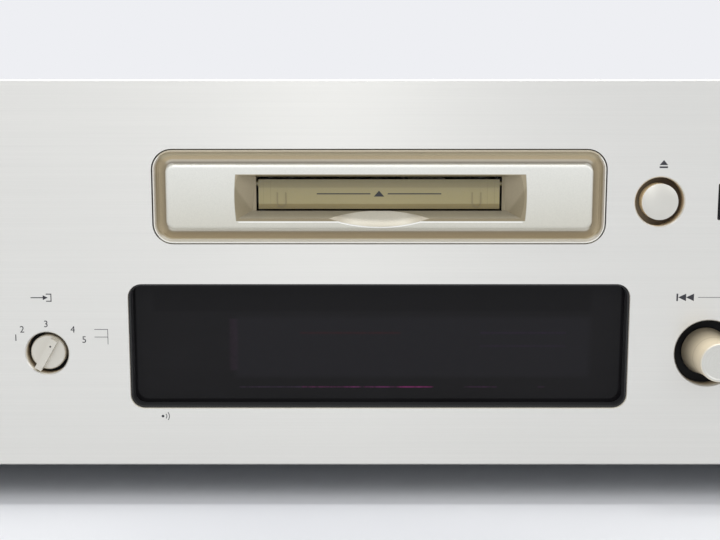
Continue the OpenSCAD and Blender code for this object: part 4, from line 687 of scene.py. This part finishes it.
def ink(name, colour):
    """Screen-printed ink: dense, with a slightly uneven film."""
    g = Graph(name)
    film = g.noise(2400)
    base = g.ramp(film, (0.3, colour), (0.7, shade(colour, 1.25)))
    return g.done(base, g.fit(film, 0.45, 0.6), g.bump(film, 2e-6))


# Printed marks: outlines of flat shapes on a face, as (x, z) in millimetres
def line(a, b, width):
    """A straight stroke with square ends, half its width past a and b."""
    along = (Vector(b) - Vector(a)).normalized() * width / 2
    side = Vector((-along.y, along.x))
    return [
        Vector(a) - along - side, Vector(b) + along - side,
        Vector(b) + along + side, Vector(a) - along + side,
    ]


def on_circle(centre, radius, turn):
    """The point at turn, in radians, on a circle round centre."""
    return Vector((centre[0] + radius * math.cos(turn), centre[1] + radius * math.sin(turn)))


def arc(centre, radius, width, start=0.0, end=360.0, steps=40):
    """An arc's outline in two halves, so that a whole ring has no seam across its hole."""
    outer, inner = radius + width / 2, radius - width / 2
    parts = []
    for k in range(2):
        a, b = start + (end - start) * k / 2, start + (end - start) * (k + 1) / 2
        turns = [math.radians(a + (b - a) * i / steps) for i in range(steps + 1)]
        parts.append([on_circle(centre, outer, turn) for turn in turns]
                     + [on_circle(centre, inner, turn) for turn in reversed(turns)])
    return parts


def polygon(*points):
    return [Vector(p) for p in points]


def disc(centre, radius, steps=24):
    return [on_circle(centre, radius, math.tau * i / steps) for i in range(steps)]


NUMBER_THICK = 0.04  # as made, before printed() squeezes it to the film
INK_ROOT = 0.02  # how far a printed shape reaches into its face, in millimetres


def number(text, centre, height):
    """A plain number from Blender's own font, as a flat mesh, and its place."""
    curve = bpy.data.curves.new("number", "FONT")
    curve.body = text
    curve.size = height * 1.4  # the font's digits fill 1 / 1.4 of its size
    curve.align_x = "CENTER"
    curve.align_y = "CENTER"
    curve.extrude = NUMBER_THICK / 2
    holder = bpy.data.objects.new("number", curve)
    bpy.context.scene.collection.objects.link(holder)
    bpy.context.view_layer.update()
    mesh = bpy.data.meshes.new_from_object(holder)
    bpy.data.objects.remove(holder)
    bpy.data.curves.remove(curve)
    return mesh, centre


def printed(name, body, outlines, face_y, material, numbers=(), outward=-1, film=0.03):
    """One piece of printed shapes, film millimetres proud of the face at face_y."""
    bm = bmesh.new()
    back, front = (face_y - outward * INK_ROOT) * MM, (face_y + outward * film) * MM
    for outline in outlines:
        rings = [[bm.verts.new((p.x * MM, y, p.y * MM)) for p in outline]
                 for y in (back, front)]
        bm.faces.new(rings[0])
        bm.faces.new(list(reversed(rings[1])))
        for i in range(len(outline)):
            j = (i + 1) % len(outline)
            bm.faces.new([rings[0][j], rings[0][i], rings[1][i], rings[1][j]])
    for mesh, centre in numbers:
        turn = Matrix.Rotation(math.pi / 2, 4, "X")
        if outward > 0:
            turn = Matrix.Rotation(math.pi, 4, "Z") @ turn
        place = Matrix.Translation((centre[0] * MM, (back + front) / 2, centre[1] * MM))
        squeeze = Matrix.Diagonal((MM, abs(front - back) / NUMBER_THICK, MM, 1))
        mesh.transform(place @ squeeze @ turn)
        bm.from_mesh(mesh)
        bpy.data.meshes.remove(mesh)
    bmesh.ops.remove_doubles(bm, verts=bm.verts, dist=1e-8)
    bmesh.ops.recalc_face_normals(bm, faces=bm.faces)
    bmesh.ops.triangulate(bm, faces=bm.faces)
    mesh = bpy.data.meshes.new(name)
    bm.to_mesh(mesh)
    bm.free()
    mesh.materials.append(material)
    piece = bpy.data.objects.new(name, mesh)
    bpy.context.scene.collection.objects.link(piece)
    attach(piece, body)


grey_ink = ink("ink_grey", (34, 34, 40))
black_ink = ink("ink_black", (34, 34, 36))


def dial_turn(i):
    """The turn of mark i of 11 on a scale from 0 at lower left to 10 at lower right."""
    return math.radians(240 - 30 * i)


def eject_symbol(x, z):
    """A triangle over a bar."""
    return [
        polygon((x - 1.25, z - 0.3), (x + 1.25, z - 0.3), (x, z + 1.2)),
        line((x - 1.0, z - 0.95), (x + 1.0, z - 0.95), 0.5),
    ]


def input_symbol(x, z):
    """An arrow into a bracket."""
    stroke, left, right, half_h = 0.28, x + 1.3, x + 2.7, 1.1
    return [
        line((x - 3.4, z), (x + 0.4, z), stroke),
        polygon((x + 0.2, z - 0.75), (x + 1.7, z), (x + 0.2, z + 0.75)),
        line((right, z - half_h), (right, z + half_h), stroke),
        line((left, z + half_h), (right, z + half_h), stroke),
        line((left, z - half_h), (right, z - half_h), stroke),
    ]


def selector_bracket():
    """Two short lines at the last places, joined at their right by a longer one."""
    left, right, upper, lower, foot, stroke = -87.3, -83.3, 56.7, 54.3, 52.1, 0.16
    return [
        line((left, upper), (right, upper), stroke),
        line((left, lower), (right, lower), stroke),
        line((right, foot), (right, upper), stroke),
    ]


def skip_symbol(x, z, way):
    """Two solid triangles against a bar, pointing left (-1) or right (1)."""
    start, length, half_h, bar_at = 0.2, 2.4, 1.15, 5.3
    shapes = []
    for k in range(2):
        tip = x + way * (start + length * (k + 1))
        root = x + way * (start + length * k)
        shapes.append(polygon((root, z - half_h), (tip, z), (root, z + half_h)))
    bar = x + way * bar_at
    shapes.append(line((bar, z - 0.9), (bar, z + 0.9), 0.5))
    return shapes


def receiver_symbol(x, z):
    """A dot with two small arcs."""
    shapes = []
    for r in (1.1, 1.9):
        shapes += arc((x, z), r, 0.22, -40, 40, 10)
    return shapes + [disc((x - 0.1, z), 0.42)]


def transport_symbols(z):
    """Play, pause, stop and record, each over its key."""
    play, pause, stop, record = KEY_XS
    return [
        polygon((play - 1.1, z - 1.2), (play + 1.2, z), (play - 1.1, z + 1.2)),
        line((pause - 0.7, z - 0.9), (pause - 0.7, z + 0.9), 0.55),
        line((pause + 0.7, z - 0.9), (pause + 0.7, z + 0.9), 0.55),
        polygon((stop - 1, z - 1), (stop + 1, z - 1), (stop + 1, z + 1), (stop - 1, z + 1)),
        disc((record, z), 1.15, 32),
    ]


def power_symbol(x, z):
    """A broken ring with an upright line in its gap."""
    return arc((x, z), 1.5, 0.34, 125, 415, 20) + [line((x, z + 0.3), (x, z + 1.7), 0.34)]


def headphones_symbol(x, z):
    """A band with a cup at each end."""
    radius, cup_w, low, high = 1.6, 0.42, -1.3, 0.2
    shapes = arc((x, z), radius, 0.3, 0, 180, 14)
    for ear in (x - radius, x + radius):
        shapes.append(polygon((ear - cup_w, z + low), (ear + cup_w, z + low),
                              (ear + cup_w, z + high), (ear - cup_w, z + high)))
    return shapes


def front_marks():
    """Everything printed on the panel: symbols, scales and plain numbers."""
    skip_z, skip_off, link_end = 66.7, 4.9, 3.7
    shapes = eject_symbol(x=85.5, z=107.4) + selector_bracket()
    shapes += input_symbol(x=-103.0, z=66.6)
    shapes += skip_symbol(JOG[0] - skip_off, skip_z, -1)
    shapes += skip_symbol(JOG[0] + skip_off, skip_z, 1)
    shapes.append(line((JOG[0] - link_end, skip_z), (JOG[0] + link_end, skip_z), 0.14))
    shapes += receiver_symbol(x=-66.9, z=29.2) + transport_symbols(z=105.6)
    shapes += power_symbol(POWER[0], POWER[1] + 11.0)
    shapes += headphones_symbol(SOCKET[0], SOCKET[1] + 12.4)
    # Scales of dots round the level knobs, larger at the ends and in the middle
    for centre, r, size in ((LEVEL, 17.2, 0.42), (PHONES, 9.6, 0.34)):
        for i in range(11):
            dot = size * (1.35 if i in (0, 5, 10) else 1.0)
            shapes.append(disc(on_circle(centre, r, dial_turn(i)), dot, 16))
    places = ((-111.6, 54.0), (-109.6, 56.6), (-102.2, 58.3), (-94.0, 56.6), (-90.6, 53.4))
    numbers = [number(str(i), at, 2.1) for i, at in enumerate(places, 1)]
    scale_r = 20.2
    numbers += [
        number(str(i), on_circle(LEVEL, scale_r, dial_turn(i)), 1.8) for i in range(11)
    ]
    printed("front_marks", "deck", shapes, PANEL_Y, grey_ink, numbers)


def dial_mark():
    """The selector's index: a small dark dot near the upper end of its bar."""
    bar_turn = math.radians(60)  # the bar's slant in the photographed place
    dot = disc(on_circle(DIAL, 2.6, bar_turn), 0.3, 16)
    bar_y = PANEL_Y - 0.9
    printed("dial_mark", "input_dial", [dot], bar_y, grey_ink, film=0.02)


def flap_mark():
    """A plain guide on the flap: a line with a triangle that shows which way to load."""
    z, gap, end, stroke = 98.1, 2.8, 18.8, 0.34
    shapes = [
        line((-end, z), (-gap, z), stroke),
        line((gap, z), (end, z), stroke),
        polygon((-1.6, z - 0.85), (1.6, z - 0.85), (0.0, z + 0.95)),
    ]
    printed("flap_mark", "flap", shapes, FLAP_Y, black_ink, film=0.02)


def rear_marks():
    """A ring round each phono socket and a number over each pair."""
    ring_r, number_z = 6.4, 77.0
    shapes, numbers = [], []
    for i, x in enumerate(PHONO_XS, 1):
        for row in PHONO_ROWS:
            shapes += arc((x, row), ring_r, 0.25)
        numbers.append(number(str(i), (x, number_z), 3.0))
    printed("rear_marks", "deck", shapes, REAR_Y, grey_ink, numbers, outward=1)


front_marks()
dial_mark()
flap_mark()
rear_marks()


def pale_floor():
    """A wide round floor of plain pale paper, which isn't part of the deck."""
    g = Graph("floor_paper")
    tone = g.noise(7, 3.0)
    fine = g.noise(900)
    base = g.ramp(tone, (0.3, (229, 230, 234)), (0.7, (233, 234, 237)))
    material = g.done(base, g.fit(fine, 0.7, 0.8), g.bump(fine, 1e-5))
    bm = bmesh.new()
    bmesh.ops.create_circle(bm, cap_ends=True, segments=96, radius=3.0)
    mesh = bpy.data.meshes.new("floor")
    bm.to_mesh(mesh)
    bm.free()
    mesh.materials.append(material)
    floor = bpy.data.objects.new("floor", mesh)
    bpy.context.scene.collection.objects.link(floor)


def studio_world():
    """Soft light from all round, with a plain backdrop where it is seen or mirrored."""
    world = bpy.data.worlds.new("studio")
    bpy.context.scene.world = world
    world.use_nodes = True
    tree = world.node_tree
    tree.nodes.clear()
    light = tree.nodes.new("ShaderNodeBackground")
    light.inputs["Color"].default_value = (0.97, 0.985, 1.0, 1)
    light.inputs["Strength"].default_value = 0.72
    back = tree.nodes.new("ShaderNodeBackground")
    back.inputs["Color"].default_value = linear(238, 239, 243)
    path = tree.nodes.new("ShaderNodeLightPath")
    seen = path.outputs["Is Camera Ray"]
    for ray in ("Is Glossy Ray", "Is Transmission Ray"):
        joined = tree.nodes.new("ShaderNodeMath")
        joined.operation = "MAXIMUM"
        tree.links.new(seen, joined.inputs[0])
        tree.links.new(path.outputs[ray], joined.inputs[1])
        seen = joined.outputs[0]
    mix = tree.nodes.new("ShaderNodeMixShader")
    out = tree.nodes.new("ShaderNodeOutputWorld")
    tree.links.new(seen, mix.inputs[0])
    tree.links.new(light.outputs[0], mix.inputs[1])
    tree.links.new(back.outputs[0], mix.inputs[2])
    tree.links.new(mix.outputs[0], out.inputs[0])


def soft_lamps():
    # Name, place, the point it faces and its size, all in metres, and its watts
    for name, place, aim, size, watts in (
        ("key", (-0.35, -1.3, 1.15), (0.02, -0.12, 0.05), (1.2, 0.8), 6.2),
        ("fill", (1.1, -0.9, 0.9), (0, -0.12, 0.06), (1.0, 1.0), 4.0),
        ("strip", (-0.04, -1.6, 0.45), (-0.01, -0.16, 0.1), (0.12, 0.7), 0.5),
        ("top_soft", (0.0, -0.3, 1.5), (0, -0.28, 0.0), (1.2, 0.12), 5.2),
    ):
        lamp = bpy.data.lights.new(name, "AREA")
        lamp.shape = "RECTANGLE"
        lamp.size, lamp.size_y = size
        lamp.energy = watts
        holder = bpy.data.objects.new(name, lamp)
        bpy.context.scene.collection.objects.link(holder)
        holder.location = place
        way = Vector(aim) - Vector(place)
        holder.rotation_euler = way.to_track_quat("-Z", "Y").to_euler()


def photo_camera():
    """The camera stands level with the panel's top edge, close in front, tipped down."""
    tip = 9.07
    data = bpy.data.cameras.new("photo")
    data.sensor_width = 36.0
    data.lens = 60.0
    holder = bpy.data.objects.new("photo", data)
    bpy.context.scene.collection.objects.link(holder)
    holder.location = (-0.0058, -0.521, 0.1328)
    holder.rotation_euler = (math.radians(90 - tip), 0, 0)
    data.clip_start, data.clip_end = 0.01, 50
    bpy.context.scene.camera = holder


pale_floor()
studio_world()
soft_lamps()
photo_camera()
bpy.context.scene.view_settings.view_transform = "Standard"
